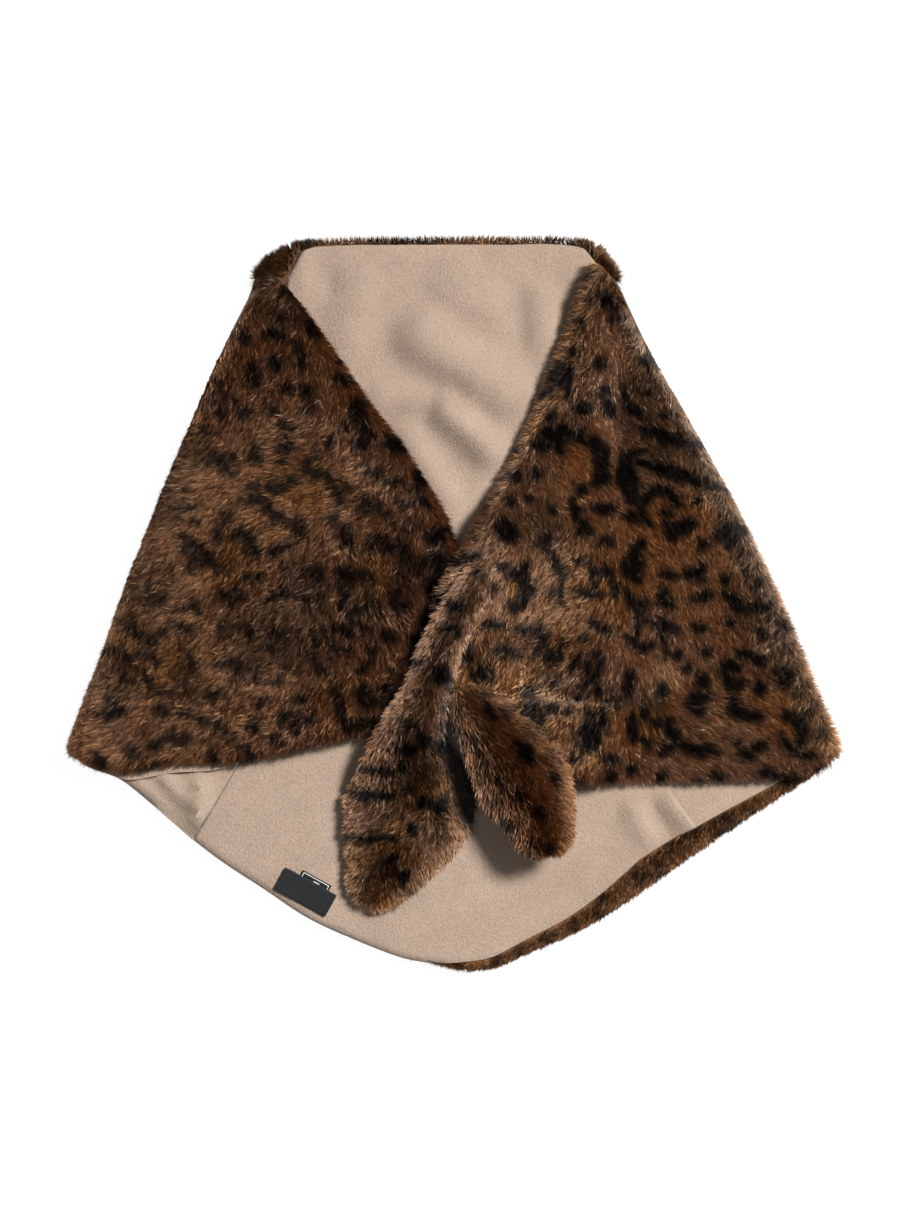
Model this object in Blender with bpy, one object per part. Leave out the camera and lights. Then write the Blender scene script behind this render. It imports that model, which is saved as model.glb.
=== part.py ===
"""Faux fur kerchief, lined, laid flat with its two fronts folded over the back and tied in one knot.

Metres, +Z up. The fur of the back rests on z = 0, +Y points to the straight face edge, and the
origin is the bottom centre of the whole piece. Every fur solid reaches as far as its pile does.
Each side panel is one wall in C-shaped sections: from the back seam under the lining, round the
side fold, and over to the front's free edge. The linings are made from the same sections, moved in.
"""

from collections import namedtuple
import math

import bpy
from mathutils import Matrix, Vector
import numpy as np

# Cloth
FUR = 0.009
LINING = 0.0012
GAP = 0.0003
RIM = 0.0015
EDGE_ROUND = 0.008

# Levels
BACK_TOP = FUR
LINING_TOP = BACK_TOP + GAP + LINING
FRONT_BASE = 0.0125
FOLD_RADIUS = 0.00275
FOLD_REACH = 0.045
FOLD_CENTRE = BACK_TOP + FOLD_RADIUS
EDGE_HIGH = 0.0050
EDGE_LOW = 0.0030
ROLL = 0.0015
TOP_ROUND_SHARE = 0.6
NEAR_FOLD = 0.004
FAR_FROM_FOLD = 0.016

# Knot
KNOT_SPREAD = 0.036

# Mesh rows
FOLD_ANGLES = (-60.0, -30.0, 0.0, 30.0, 60.0)
BACK_SHARES = (1.0, 0.66, 0.33, 0.0)
FRONT_SHARES = (0.0, 0.12, 0.26, 0.40, 0.54, 0.68, 0.80)
EDGE_STEPS = (0.008, 0.004, 0.0012, 0.0)
BORDER_STEPS = (0.0, 0.25, 0.6, 1.0)
ROW_SHARES = (0.08, 0.18, 0.28, 0.38, 0.48, 0.57, 0.66, 0.74, 0.82, 0.89, 0.95)
LEAST_BORDER = 0.005
RIGHT_LINING_COLUMNS = len(BACK_SHARES) - 1
LEFT_LINING_COLUMNS = len(BACK_SHARES) + len(FOLD_ANGLES) + 5
CORNER_ROWS = 3
PROBES = 41
SHARP_ANGLE = 50.0
BACK_COLUMNS = (
    0.0, 0.04, 0.08, 0.12, 0.18, 0.25, 0.32, 0.40, 0.46, 0.50, 0.54, 0.58, 0.62,
    0.67, 0.72, 0.78, 0.84, 0.88, 0.92, 0.96, 1.0,
)

Station = namedtuple("Station", "along fold_x fold_y front_x front_y seam_x seam_y")
Edge = namedtuple("Edge", "x y")
Border = namedtuple("Border", "share face_edge hem")
Ridge = namedtuple("Ridge", "x0 y0 x1 y1 half_width height")
Stretch = namedtuple("Stretch", "x y half_width base depth")

# The fronts climb onto each other about this line, from the point of the V to the knot.
KNOT_LINE = Ridge(0.004, 0.030, -0.005, -0.016, KNOT_SPREAD, 0.0)

LEFT_STATIONS = (
    Station(0.00, -0.142, 0.221, -0.113, 0.225, -0.113, 0.253),
    Station(0.15, -0.164, 0.179, -0.090, 0.193, -0.118, 0.193),
    Station(0.32, -0.186, 0.125, -0.057, 0.146, -0.107, 0.125),
    Station(0.48, -0.206, 0.074, -0.026, 0.104, -0.104, 0.060),
    Station(0.64, -0.226, 0.022, 0.005, 0.045, -0.108, 0.004),
    Station(0.80, -0.244, -0.031, -0.009, -0.010, -0.125, -0.059),
    Station(0.92, -0.258, -0.069, -0.020, -0.057, -0.153, -0.114),
    Station(1.00, -0.268, -0.099, -0.043, -0.090, -0.183, -0.165),
)
LEFT_FRONT_TOP = (Edge(-0.142, 0.221), Edge(-0.128, 0.227), Edge(-0.113, 0.225))
LEFT_BACK_TOP = (Edge(-0.142, 0.221), Edge(-0.139, 0.230), Edge(-0.130, 0.242), Edge(-0.113, 0.253))
LEFT_FRONT_HEM = (
    Edge(-0.268, -0.099),
    Edge(-0.262, -0.109),
    Edge(-0.240, -0.118),
    Edge(-0.191, -0.113),
    Edge(-0.146, -0.111),
    Edge(-0.107, -0.102),
    Edge(-0.072, -0.094),
    Edge(-0.043, -0.090),
)
LEFT_BACK_HEM = (
    Edge(-0.268, -0.099),
    Edge(-0.261, -0.110),
    Edge(-0.234, -0.122),
    Edge(-0.216, -0.136),
    Edge(-0.200, -0.150),
    Edge(-0.183, -0.165),
)
LEFT_KNOT_RISE = 0.001
LEFT_RIDGES = (
    Ridge(-0.105, 0.085, -0.030, 0.040, 0.024, 0.0045),
    Ridge(-0.100, 0.020, -0.030, 0.004, 0.020, 0.0050),
    Ridge(-0.125, -0.040, -0.040, -0.030, 0.018, 0.0035),
    Ridge(-0.105, -0.075, -0.045, -0.058, 0.014, 0.0030),
)

RIGHT_STATIONS = (
    Station(0.00, 0.118, 0.223, 0.093, 0.237, 0.099, 0.253),
    Station(0.15, 0.138, 0.183, 0.075, 0.190, 0.103, 0.193),
    Station(0.32, 0.164, 0.134, 0.054, 0.137, 0.100, 0.125),
    Station(0.48, 0.188, 0.087, 0.034, 0.095, 0.102, 0.060),
    Station(0.64, 0.209, 0.042, 0.009, 0.050, 0.110, -0.003),
    Station(0.80, 0.232, -0.010, -0.015, -0.003, 0.130, -0.066),
    Station(0.92, 0.251, -0.059, -0.004, -0.052, 0.153, -0.130),
    Station(1.00, 0.267, -0.097, 0.019, -0.097, 0.181, -0.168),
)
RIGHT_FRONT_TOP = (Edge(0.118, 0.223), Edge(0.107, 0.236), Edge(0.093, 0.237))
RIGHT_BACK_TOP = (Edge(0.118, 0.223), Edge(0.112, 0.236), Edge(0.107, 0.244), Edge(0.099, 0.253))
RIGHT_FRONT_HEM = (
    Edge(0.267, -0.097),
    Edge(0.266, -0.109),
    Edge(0.260, -0.116),
    Edge(0.236, -0.122),
    Edge(0.201, -0.124),
    Edge(0.145, -0.125),
    Edge(0.085, -0.124),
    Edge(0.047, -0.110),
    Edge(0.019, -0.097),
)
RIGHT_BACK_HEM = (
    Edge(0.267, -0.097),
    Edge(0.268, -0.108),
    Edge(0.258, -0.118),
    Edge(0.231, -0.136),
    Edge(0.209, -0.150),
    Edge(0.181, -0.168),
)
RIGHT_KNOT_RISE = 0.0115
RIGHT_RIDGES = (
    Ridge(0.102, 0.185, 0.095, 0.115, 0.018, 0.0035),
    Ridge(0.095, 0.115, 0.045, 0.060, 0.020, 0.0040),
    Ridge(0.135, -0.048, 0.035, -0.036, 0.024, 0.0085),
    Ridge(0.170, -0.075, 0.075, -0.090, 0.018, 0.0030),
)

FACE_EDGE = (
    Edge(-0.113, 0.253),
    Edge(-0.104, 0.256),
    Edge(-0.086, 0.2575),
    Edge(-0.030, 0.2585),
    Edge(0.033, 0.2585),
    Edge(0.085, 0.2575),
    Edge(0.094, 0.256),
    Edge(0.099, 0.253),
)
BACK_HEM = (
    Edge(-0.183, -0.165),
    Edge(-0.166, -0.178),
    Edge(-0.134, -0.199),
    Edge(-0.102, -0.220),
    Edge(-0.072, -0.234),
    Edge(-0.026, -0.251),
    Edge(0.005, -0.2585),
    Edge(0.026, -0.2575),
    Edge(0.054, -0.246),
    Edge(0.089, -0.230),
    Edge(0.131, -0.204),
    Edge(0.159, -0.184),
    Edge(0.181, -0.168),
)
# How far the lining stays inside the fur's outline, from the left seam to the right one.
BORDERS = (
    Border(0.00, 0.0230, 0.003),
    Border(0.04, 0.0070, 0.003),
    Border(0.12, 0.0035, 0.003),
    Border(0.25, 0.0035, 0.003),
    Border(0.40, 0.0035, 0.004),
    Border(0.50, 0.0035, 0.008),
    Border(0.60, 0.0035, 0.012),
    Border(0.70, 0.0035, 0.014),
    Border(0.80, 0.0035, 0.018),
    Border(0.88, 0.0035, 0.022),
    Border(0.96, 0.0060, 0.019),
    Border(1.00, 0.0130, 0.016),
)
LINING_RIDGES = (
    Ridge(0.008, 0.118, 0.026, 0.100, 0.012, 0.0016),
    Ridge(-0.020, 0.160, -0.006, 0.152, 0.010, 0.0012),
    Ridge(-0.086, 0.225, -0.084, 0.205, 0.011, 0.0014),
    Ridge(0.078, 0.236, 0.066, 0.200, 0.010, 0.0014),
    Ridge(0.134, -0.146, 0.144, -0.160, 0.014, 0.0016),
)
CORNER_RIDGES = (
    Ridge(-0.205, -0.128, -0.190, -0.140, 0.007, 0.0020),
    Ridge(-0.181, -0.128, -0.180, -0.150, 0.007, 0.0022),
)

# The right front's end crosses over the knot and hangs as the left tail; the left front's end
# passes under it and stands out at the right.
LEFT_TAIL = (
    Stretch(0.034, 0.046, 0.007, 0.0290, 0.004),
    Stretch(0.022, 0.024, 0.014, 0.0315, 0.009),
    Stretch(0.009, 0.002, 0.017, 0.0325, 0.012),
    Stretch(-0.005, -0.023, 0.017, 0.0325, 0.013),
    Stretch(-0.014, -0.046, 0.017, 0.0300, 0.013),
    Stretch(-0.021, -0.066, 0.020, 0.0265, 0.013),
    Stretch(-0.028, -0.088, 0.028, 0.0220, 0.013),
    Stretch(-0.029, -0.106, 0.038, 0.0155, 0.013),
    Stretch(-0.029, -0.124, 0.046, 0.0118, 0.013),
    Stretch(-0.030, -0.145, 0.050, 0.0109, 0.013),
    Stretch(-0.034, -0.165, 0.046, 0.0109, 0.013),
    Stretch(-0.043, -0.185, 0.035, 0.0109, 0.013),
    Stretch(-0.054, -0.203, 0.021, 0.0109, 0.012),
    Stretch(-0.062, -0.215, 0.009, 0.0109, 0.008),
)
# The pocket in the left tail, between its rolled strip and its lower leaf.
LEFT_TAIL_POCKET = Ridge(-0.016, -0.098, -0.018, -0.132, 0.019, 0.0065)
RIGHT_TAIL = (
    Stretch(0.006, -0.050, 0.009, 0.0265, 0.006),
    Stretch(0.014, -0.066, 0.018, 0.0250, 0.009),
    Stretch(0.025, -0.084, 0.027, 0.0245, 0.011),
    Stretch(0.036, -0.103, 0.034, 0.0260, 0.013),
    Stretch(0.046, -0.124, 0.037, 0.0295, 0.013),
    Stretch(0.054, -0.144, 0.031, 0.0330, 0.013),
    Stretch(0.061, -0.163, 0.023, 0.0355, 0.012),
    Stretch(0.067, -0.178, 0.012, 0.0370, 0.008),
)
ACROSS = (-1.0, -0.96, -0.84, -0.62, -0.34, 0.0, 0.34, 0.62, 0.84, 0.96, 1.0)
TIE_START = (0.0, 0.012, 0.035)
TIE_STEP = 0.01
TIE_FULLNESS = 2.6
TIE_SHARE_ABOVE = 0.6

LABEL_X = -0.1035
LABEL_Y = -0.2005
LABEL_TURN = -28.8
LABEL_LENGTH = 0.041
LABEL_WIDTH = 0.0172
LABEL_THICK = 0.0007
LABEL_BEND = 0.0004
TAB_SHIFT = 0.0025
TAB_PEEK = 0.0040
TAB_LENGTH = 0.023
TAB_WIDTH = 0.010
TAB_THICK = 0.0006


def clear_scene():
    for item in list(bpy.data.objects):
        bpy.data.objects.remove(item, do_unlink=True)


def material(name, colour, roughness):
    made = bpy.data.materials.new(name)
    made.use_nodes = True
    shader = made.node_tree.nodes["Principled BSDF"]
    shader.inputs["Base Color"].default_value = (*colour, 1.0)
    shader.inputs["Roughness"].default_value = roughness
    shader.inputs["Metallic"].default_value = 0.0
    return made


def add_object(name, points, faces, finish):
    mesh = bpy.data.meshes.new(name)
    mesh.from_pydata([tuple(point) for point in points], [], faces)
    mesh.validate()
    mesh.materials.append(finish)
    mesh.shade_smooth()
    mesh.set_sharp_from_angle(angle=math.radians(SHARP_ANGLE))
    made = bpy.data.objects.new(name, mesh)
    bpy.context.collection.objects.link(made)
    return made


def smooth_curve(points, shares=None):
    """A function of 0..1 that runs smoothly through the points, at the given shares or by length."""
    points = np.array(points, float)
    if shares is None:
        steps = np.linalg.norm(np.diff(points, axis=0), axis=1)
        shares = np.concatenate(([0.0], np.cumsum(steps))) / steps.sum()
    shares = np.array(shares, float)
    slopes = np.gradient(points, shares, axis=0)

    def at(share):
        share = np.clip(np.asarray(share, float), 0.0, 1.0)
        index = np.clip(np.searchsorted(shares, share, side="right") - 1, 0, len(shares) - 2)
        span = shares[index + 1] - shares[index]
        part = ((share - shares[index]) / span)[..., None]
        span = span[..., None]
        start_weight = 2 * part**3 - 3 * part**2 + 1
        end_weight = 3 * part**2 - 2 * part**3
        start_slope = part**3 - 2 * part**2 + part
        end_slope = part**3 - part**2
        value = start_weight * points[index] + end_weight * points[index + 1]
        return value + span * (start_slope * slopes[index] + end_slope * slopes[index + 1])

    return at


def patch(low_side, high_side, start, end):
    """A plan patch between four edge curves: across goes from the low side to the high one."""

    def at(across, along):
        across = np.asarray(across, float)
        along = np.asarray(along, float)
        a = across[..., None]
        b = along[..., None]
        sides = (1 - a) * low_side(along) + a * high_side(along)
        ends = (1 - b) * start(across) + b * end(across)
        none = np.zeros_like(across)
        all_over = np.ones_like(across)
        corners = (1 - a) * (1 - b) * start(none) + a * (1 - b) * start(all_over)
        corners += (1 - a) * b * end(none) + a * b * end(all_over)
        return sides + ends - corners

    return at


def plan_widths(plan, along):
    """The straight width of a plan patch at each place along it."""
    return np.linalg.norm(plan(np.ones_like(along), along) - plan(np.zeros_like(along), along), axis=-1)


def smooth_step(value):
    value = np.clip(value, 0.0, 1.0)
    return value * value * (3.0 - 2.0 * value)


def rounding(distance, reach=EDGE_ROUND):
    """0 at a free edge to 1 at the reach from it, along a quarter of an ellipse."""
    inside = 1.0 - np.clip(distance / reach, 0.0, 1.0)
    return np.sqrt(np.clip(1.0 - inside * inside, 0.0, 1.0))


def line_distance(x, y, ridge):
    """How far points of the plan are from a ridge's line."""
    run_x = ridge.x1 - ridge.x0
    run_y = ridge.y1 - ridge.y0
    part = ((x - ridge.x0) * run_x + (y - ridge.y0) * run_y) / (run_x**2 + run_y**2)
    part = np.clip(part, 0.0, 1.0)
    return np.hypot(x - ridge.x0 - part * run_x, y - ridge.y0 - part * run_y)


def ridge_height(x, y, ridges):
    """The height of soft ridges, each a smooth hump about its own line."""
    total = np.zeros_like(x)
    for ridge in ridges:
        away = line_distance(x, y, ridge)
        hump = np.clip(1.0 - (away / ridge.half_width) ** 2, 0.0, 1.0) ** 2
        total = np.maximum(total, ridge.height * hump)
    return total


def lengths_along(grid, axis):
    """The distance of each point from the first and from the last one of its line."""
    steps = np.linalg.norm(np.diff(grid, axis=axis), axis=2)
    run = np.cumsum(steps, axis=axis)
    zero = np.zeros_like(np.take(run, [0], axis=axis))
    from_start = np.concatenate((zero, run), axis=axis)
    whole = np.take(from_start, [-1], axis=axis)
    return from_start, whole - from_start


def faces_out(outer, inner):
    """Whether rows, then columns, turn about the way from the inner grid to the outer one."""
    middle = outer.shape[0] // 2
    start = outer[middle, -2]
    turn = np.cross(outer[middle, -1] - start, outer[middle + 1, -2] - start)
    return np.dot(turn, start - inner[middle, -2]) > 0


def add_wall(name, outer, inner, finish):
    """A closed wall between two grids of the same size, joined all round its edge."""
    if not faces_out(outer, inner):
        outer = outer[:, ::-1]
        inner = inner[:, ::-1]
    rows, columns = outer.shape[:2]
    points = np.concatenate((outer.reshape(-1, 3), inner.reshape(-1, 3)))
    shift = rows * columns
    faces = []
    for i in range(rows - 1):
        for j in range(columns - 1):
            a = i * columns + j
            b = a + 1
            c = a + columns + 1
            d = a + columns
            for first, second, third in ((a, b, c), (a, c, d)):
                faces.append((first, second, third))
                faces.append((shift + third, shift + second, shift + first))
    ring = list(range(columns))
    ring += [i * columns + columns - 1 for i in range(1, rows)]
    ring += [(rows - 1) * columns + j for j in range(columns - 2, -1, -1)]
    ring += [i * columns for i in range(rows - 2, 0, -1)]
    for a, b in zip(ring, ring[1:] + ring[:1]):
        faces.append((b, a, shift + a))
        faces.append((b, shift + a, shift + b))
    return add_object(name, points, faces, finish)


def station_curve(stations, first, second):
    shares = [row.along for row in stations]
    return smooth_curve([(getattr(row, first), getattr(row, second)) for row in stations], shares)


class SidePanel:
    """One side of the kerchief: its plan patches and the height of its backing."""

    def __init__(self, stations, front_top, back_top, front_hem, back_hem, border, rise, ridges):
        fold = station_curve(stations, "fold_x", "fold_y")
        front = station_curve(stations, "front_x", "front_y")
        seam = station_curve(stations, "seam_x", "seam_y")
        self.front_plan = patch(fold, front, smooth_curve(front_top), smooth_curve(front_hem))
        self.back_plan = patch(fold, seam, smooth_curve(back_top), smooth_curve(back_hem))
        self.face_border = max(border.face_edge, LEAST_BORDER)
        self.hem_border = max(border.hem, LEAST_BORDER)
        self.rise = rise
        self.ridges = ridges

    def borders(self, zone, value):
        """How far a column's smooth borders reach from the face edge and from the hem."""
        seam_part = value if zone == "back" else 0.0
        face = EDGE_ROUND + (self.face_border - EDGE_ROUND) * seam_part
        hem = EDGE_ROUND + (self.hem_border - EDGE_ROUND) * seam_part
        return face, hem

    def front_height(self, points, from_fold):
        """The underside of the front's fur over the lining of the back."""
        x = points[..., 0]
        y = points[..., 1]
        at_fold = (FOLD_CENTRE + FOLD_RADIUS - FRONT_BASE) * (1.0 - smooth_step(from_fold / FOLD_REACH))
        knot = self.rise * np.exp(-((line_distance(x, y, KNOT_LINE) / KNOT_SPREAD) ** 2))
        folds = ridge_height(x, y, self.ridges) * smooth_step(from_fold / FOLD_REACH)
        return FRONT_BASE + at_fold + knot + folds

    def column(self, zone, value, along):
        """The backing's points and outward normals down one column, and its place round the fold."""
        start = FUR + FOLD_RADIUS
        back_width = plan_widths(self.back_plan, along)
        front_width = plan_widths(self.front_plan, along)
        if zone == "back":
            from_fold = start + value * (back_width - start - GAP / 2)
            plan = self.back_plan(from_fold / back_width, along)
            height = np.full(len(along), BACK_TOP)
        elif zone == "fold":
            angle = math.radians(value)
            from_fold = np.full(len(along), FUR + FOLD_RADIUS * (1.0 - math.cos(angle)))
            low = self.back_plan(from_fold / back_width, along)
            high = self.front_plan(from_fold / front_width, along)
            turn = (value + 90.0) / 180.0
            plan = (1.0 - turn) * low + turn * high
            height = np.full(len(along), FOLD_CENTRE + FOLD_RADIUS * math.sin(angle))
        else:
            if zone == "front":
                from_fold = start + value * (front_width - start)
            else:
                from_fold = front_width - value
            plan = self.front_plan(from_fold / front_width, along)
            height = self.front_height(plan, from_fold - start)
        return np.column_stack((plan, height))

    def fold_normals(self, angle_value, along):
        """Outward round the fold, in the plane of each section."""
        angle = math.radians(angle_value)
        near = np.full(len(along), NEAR_FOLD)
        far = np.full(len(along), FAR_FROM_FOLD)
        low = self.back_plan(far / plan_widths(self.back_plan, along), along)
        low -= self.back_plan(near / plan_widths(self.back_plan, along), along)
        high = self.front_plan(far / plan_widths(self.front_plan, along), along)
        high -= self.front_plan(near / plan_widths(self.front_plan, along), along)
        turn = (angle_value + 90.0) / 180.0
        inward = (1.0 - turn) * low / np.linalg.norm(low, axis=1)[:, None]
        inward += turn * high / np.linalg.norm(high, axis=1)[:, None]
        inward /= np.linalg.norm(inward, axis=1)[:, None]
        return np.column_stack((-math.cos(angle) * inward, np.full(len(along), math.sin(angle))))


def row_distances(length, face_border, hem_border):
    """Distances down a column: close together inside the border at either end."""
    starts = np.array(BORDER_STEPS) * face_border
    ends = length - np.array(BORDER_STEPS[::-1]) * hem_border
    middle = starts[-1] + np.array(ROW_SHARES) * (ends[0] - starts[-1])
    return np.concatenate((starts, middle, ends))


def line_length(line):
    return np.linalg.norm(np.diff(line, axis=0), axis=1).sum()


def side_grid(side):
    """The backing's grid of one side panel, with each column's zone."""
    zones = [("back", share) for share in BACK_SHARES]
    zones += [("fold", angle) for angle in FOLD_ANGLES]
    zones += [("front", share) for share in FRONT_SHARES]
    zones += [("edge", step) for step in EDGE_STEPS]
    probe = np.linspace(0.0, 1.0, PROBES)
    columns = []
    for zone, value in zones:
        length = line_length(side.column(zone, value, probe))
        face, hem = side.borders(zone, value)
        along = row_distances(length, face, hem) / length
        columns.append(side.column(zone, value, along))
    return zones, np.stack(columns, axis=1)


def side_normals(side, zones, grid):
    """Outward normals: down under the back, round the fold, and off the front's own slopes."""
    across = np.gradient(grid, axis=1)
    down = np.gradient(grid, axis=0)
    slopes = np.cross(across, down)
    slopes /= np.linalg.norm(slopes, axis=2)[:, :, None]
    slopes *= np.sign(slopes[:, :, 2:3])
    probe = np.linspace(0.0, 1.0, grid.shape[0])
    for j, (zone, value) in enumerate(zones):
        if zone == "back":
            slopes[:, j] = (0.0, 0.0, -1.0)
        elif zone == "fold":
            slopes[:, j] = side.fold_normals(value, probe)
        elif zone == "front" and value == 0.0:
            slopes[:, j] = (0.0, 0.0, 1.0)
    return slopes


def back_profile(from_edge, border):
    """The top and the underside of the fur that lies face down, by the distance from its edge."""
    roll = ROLL * np.sin(math.pi * np.clip(from_edge / border, 0.0, 1.0))
    shoulder = 1.0 - rounding(from_edge, EDGE_ROUND * TOP_ROUND_SHARE)
    top = BACK_TOP + roll - (BACK_TOP - EDGE_HIGH) * shoulder
    low = EDGE_LOW * (1.0 - rounding(from_edge))
    return top, low


def fur_side(name, side, finish):
    zones, grid = side_grid(side)
    normals = side_normals(side, zones, grid)
    from_top, from_hem = lengths_along(grid, 0)
    _, from_front = lengths_along(grid, 1)
    from_end = np.minimum(from_top, from_hem)
    kinds = np.array([zone for zone, _ in zones])
    is_front = (kinds == "front") | (kinds == "edge")
    edge = np.where(is_front[None, :], rounding(from_front), 1.0)
    pile = RIM + (FUR - RIM) * rounding(from_end) * edge
    outer = grid + normals * pile[:, :, None]
    inner = grid.copy()
    for j, (zone, value) in enumerate(zones):
        if zone != "back":
            continue
        face, hem = side.borders(zone, value)
        border = np.where(from_top[:, j] < from_hem[:, j], face, hem)
        top, low = back_profile(from_end[:, j], border)
        fade = smooth_step(value * 2.0)
        inner[:, j, 2] = (1.0 - fade) * inner[:, j, 2] + fade * top
        outer[:, j, 2] = (1.0 - fade) * outer[:, j, 2] + fade * low
    return add_wall(name, outer, inner, finish)


def back_patch():
    seam_left = station_curve(LEFT_STATIONS, "seam_x", "seam_y")
    seam_right = station_curve(RIGHT_STATIONS, "seam_x", "seam_y")
    return patch(seam_left, seam_right, smooth_curve(FACE_EDGE), smooth_curve(BACK_HEM))


def back_columns(plan):
    """For each column of the back: its share across, its length, and its two borders."""
    made = []
    probe = np.linspace(0.0, 1.0, PROBES)
    for share in BACK_COLUMNS:
        length = line_length(plan(np.full(len(probe), share), probe))
        face = np.interp(share, [row.share for row in BORDERS], [row.face_edge for row in BORDERS])
        hem = np.interp(share, [row.share for row in BORDERS], [row.hem for row in BORDERS])
        made.append((share, length, face, hem))
    return made


def seam_clear(plan, share, along):
    """The share across, kept half a gap from either seam."""
    inset = GAP / 2 / plan_widths(plan, along)
    return np.clip(np.full(len(along), share), inset, 1.0 - inset)


def fur_back(plan, finish):
    tops = []
    lows = []
    for share, length, face, hem in back_columns(plan):
        face_border = max(face, LEAST_BORDER)
        hem_border = max(hem, LEAST_BORDER)
        distance = row_distances(length, face_border, hem_border)
        along = distance / length
        spot = plan(seam_clear(plan, share, along), along)
        near_face = distance < length / 2
        from_edge = np.where(near_face, distance, length - distance)
        border = np.where(near_face, face_border, hem_border)
        top, low = back_profile(from_edge, border)
        tops.append(np.column_stack((spot, top)))
        lows.append(np.column_stack((spot, low)))
    return add_wall("fur_back", np.stack(tops, axis=1), np.stack(lows, axis=1), finish)


def lining_back(plan, finish):
    columns = []
    for share, length, face, hem in back_columns(plan):
        rows = row_distances(length, max(face, LEAST_BORDER), max(hem, LEAST_BORDER))
        rows = rows[len(BORDER_STEPS) - 1:1 - len(BORDER_STEPS)]
        rows[0] += GAP
        rows[-1] -= GAP
        spot = plan(seam_clear(plan, share, rows / length), rows / length)
        halves = (rows[1:] + rows[:-1]) / 2 / length
        between = plan(seam_clear(plan, share, halves), halves)
        if share in (0.0, 1.0):
            between = (spot[1:] + spot[:-1]) / 2
        column = np.empty((len(spot) + len(between), 2))
        column[0::2] = spot
        column[1::2] = between
        columns.append(column)
    spots = np.stack(columns, axis=1)
    lift = ridge_height(spots[..., 0], spots[..., 1], LINING_RIDGES)
    low = np.dstack((spots, BACK_TOP + GAP + lift))
    high = np.dstack((spots, LINING_TOP + lift))
    return add_wall("lining_back", high, low, finish)


def lining_side(name, side, last_column, finish):
    """A side's lining near the hem, from the back seam to the given column of its fur, moved in.

    Under the back it ends at the hem's border, and round the fold and under the front at the hem.
    """
    zones, grid = side_grid(side)
    normals = side_normals(side, zones, grid)
    zones = zones[:last_column]
    grid = grid[:, :last_column]
    normals = normals[:, :last_column]
    outer = grid - normals * GAP
    inner = grid - normals * (GAP + LINING)
    lift = ridge_height(grid[..., 0], grid[..., 1], CORNER_RIDGES)
    is_back = np.array([zone == "back" for zone, _ in zones])
    outer[:, is_back, 2] += lift[:, is_back]
    inner[:, is_back, 2] += lift[:, is_back]
    border_row = grid.shape[0] - len(BORDER_STEPS)
    first_row = border_row - CORNER_ROWS
    past_back = np.cumsum(~is_back)
    reach = np.clip(past_back / len(FOLD_ANGLES), 0.0, 1.0)[:, None]

    def hem_rows(surface):
        near_hem = surface[-1] + (surface[-2] - surface[-1]) / 4
        last = (1.0 - reach) * surface[border_row] + reach * near_hem
        half = (surface[border_row - 1] + surface[border_row]) / 2
        before_last = np.where(reach > 0.0, surface[border_row], half)
        return np.concatenate((surface[first_row:border_row], before_last[None], last[None]))

    return add_wall(name, hem_rows(outer), hem_rows(inner), finish)


def tie_stretch(name, rows, pocket, finish):
    """A tie end as one soft, flattened roll along its own line, with an optional pocket pressed in."""
    shares = [0.0]
    for before, after in zip(rows, rows[1:]):
        shares.append(shares[-1] + math.hypot(after.x - before.x, after.y - before.y))
    shares = np.array(shares) / shares[-1]
    line = smooth_curve(np.array(rows), shares)
    start = np.array(TIE_START)
    middle_steps = np.linspace(start[-1], 1.0 - start[-1], 2 * len(rows) - 4)
    at = np.concatenate((start[:-1], middle_steps, 1.0 - start[-2::-1]))
    data = line(at)
    ahead = line(np.clip(at + TIE_STEP, 0, 1))[:, :2] - line(np.clip(at - TIE_STEP, 0, 1))[:, :2]
    ahead /= np.linalg.norm(ahead, axis=1)[:, None]
    side = np.column_stack((-ahead[:, 1], ahead[:, 0]))
    across = np.array(ACROSS)
    end_distance = np.minimum(at, 1.0 - at) * np.linalg.norm(np.diff(data[:, :2], axis=0), axis=1).sum()
    ends = rounding(end_distance, EDGE_ROUND)
    section = np.sqrt(np.clip(1.0 - np.abs(across) ** TIE_FULLNESS, 0.0, 1.0))
    spots = data[:, None, :2] + across[None, :, None] * data[:, None, 2:3] * side[:, None, :]
    full = ends[:, None] * section[None, :]
    above = TIE_SHARE_ABOVE * data[:, 4:5]
    below = data[:, 4:5] - above
    middle = data[:, 3:4] + below
    high = middle + RIM / 2 + (above - RIM / 2) * full
    low = middle - RIM / 2 - (below - RIM / 2) * full
    if pocket is not None:
        pressed = ridge_height(spots[..., 0], spots[..., 1], (pocket,))
        high = np.maximum(high - pressed, low + RIM)
    return add_wall(name, np.dstack((spots, high)), np.dstack((spots, low)), finish)


def woven_piece(name, length, width, thick, base, shift_x, shift_y, finish):
    """A small woven rectangle turned to lie along the hem, very slightly bowed."""
    turn = math.radians(LABEL_TURN)
    along = np.linspace(-0.5, 0.5, 9)
    across = np.linspace(-0.5, 0.5, 3)
    u, v = np.meshgrid(along, across)
    local_x = u * length + shift_x
    local_y = v * width + shift_y
    x = LABEL_X + local_x * math.cos(turn) - local_y * math.sin(turn)
    y = LABEL_Y + local_x * math.sin(turn) + local_y * math.cos(turn)
    z = base + LABEL_BEND * (2.0 * local_x / LABEL_LENGTH) ** 2
    high = np.dstack((x, y, z + thick))
    low = np.dstack((x, y, z))
    return add_wall(name, high, low, finish)


def centre_on_origin():
    """Shift every piece so that the whole stands with its bottom centre on the origin."""
    made = [item for item in bpy.data.objects if item.type == "MESH"]
    points = np.array([tuple(vertex.co) for item in made for vertex in item.data.vertices])
    low = points.min(axis=0)
    high = points.max(axis=0)
    shift = Vector(((low[0] + high[0]) / 2, (low[1] + high[1]) / 2, low[2]))
    for item in made:
        item.data.transform(Matrix.Translation(-shift))


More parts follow.
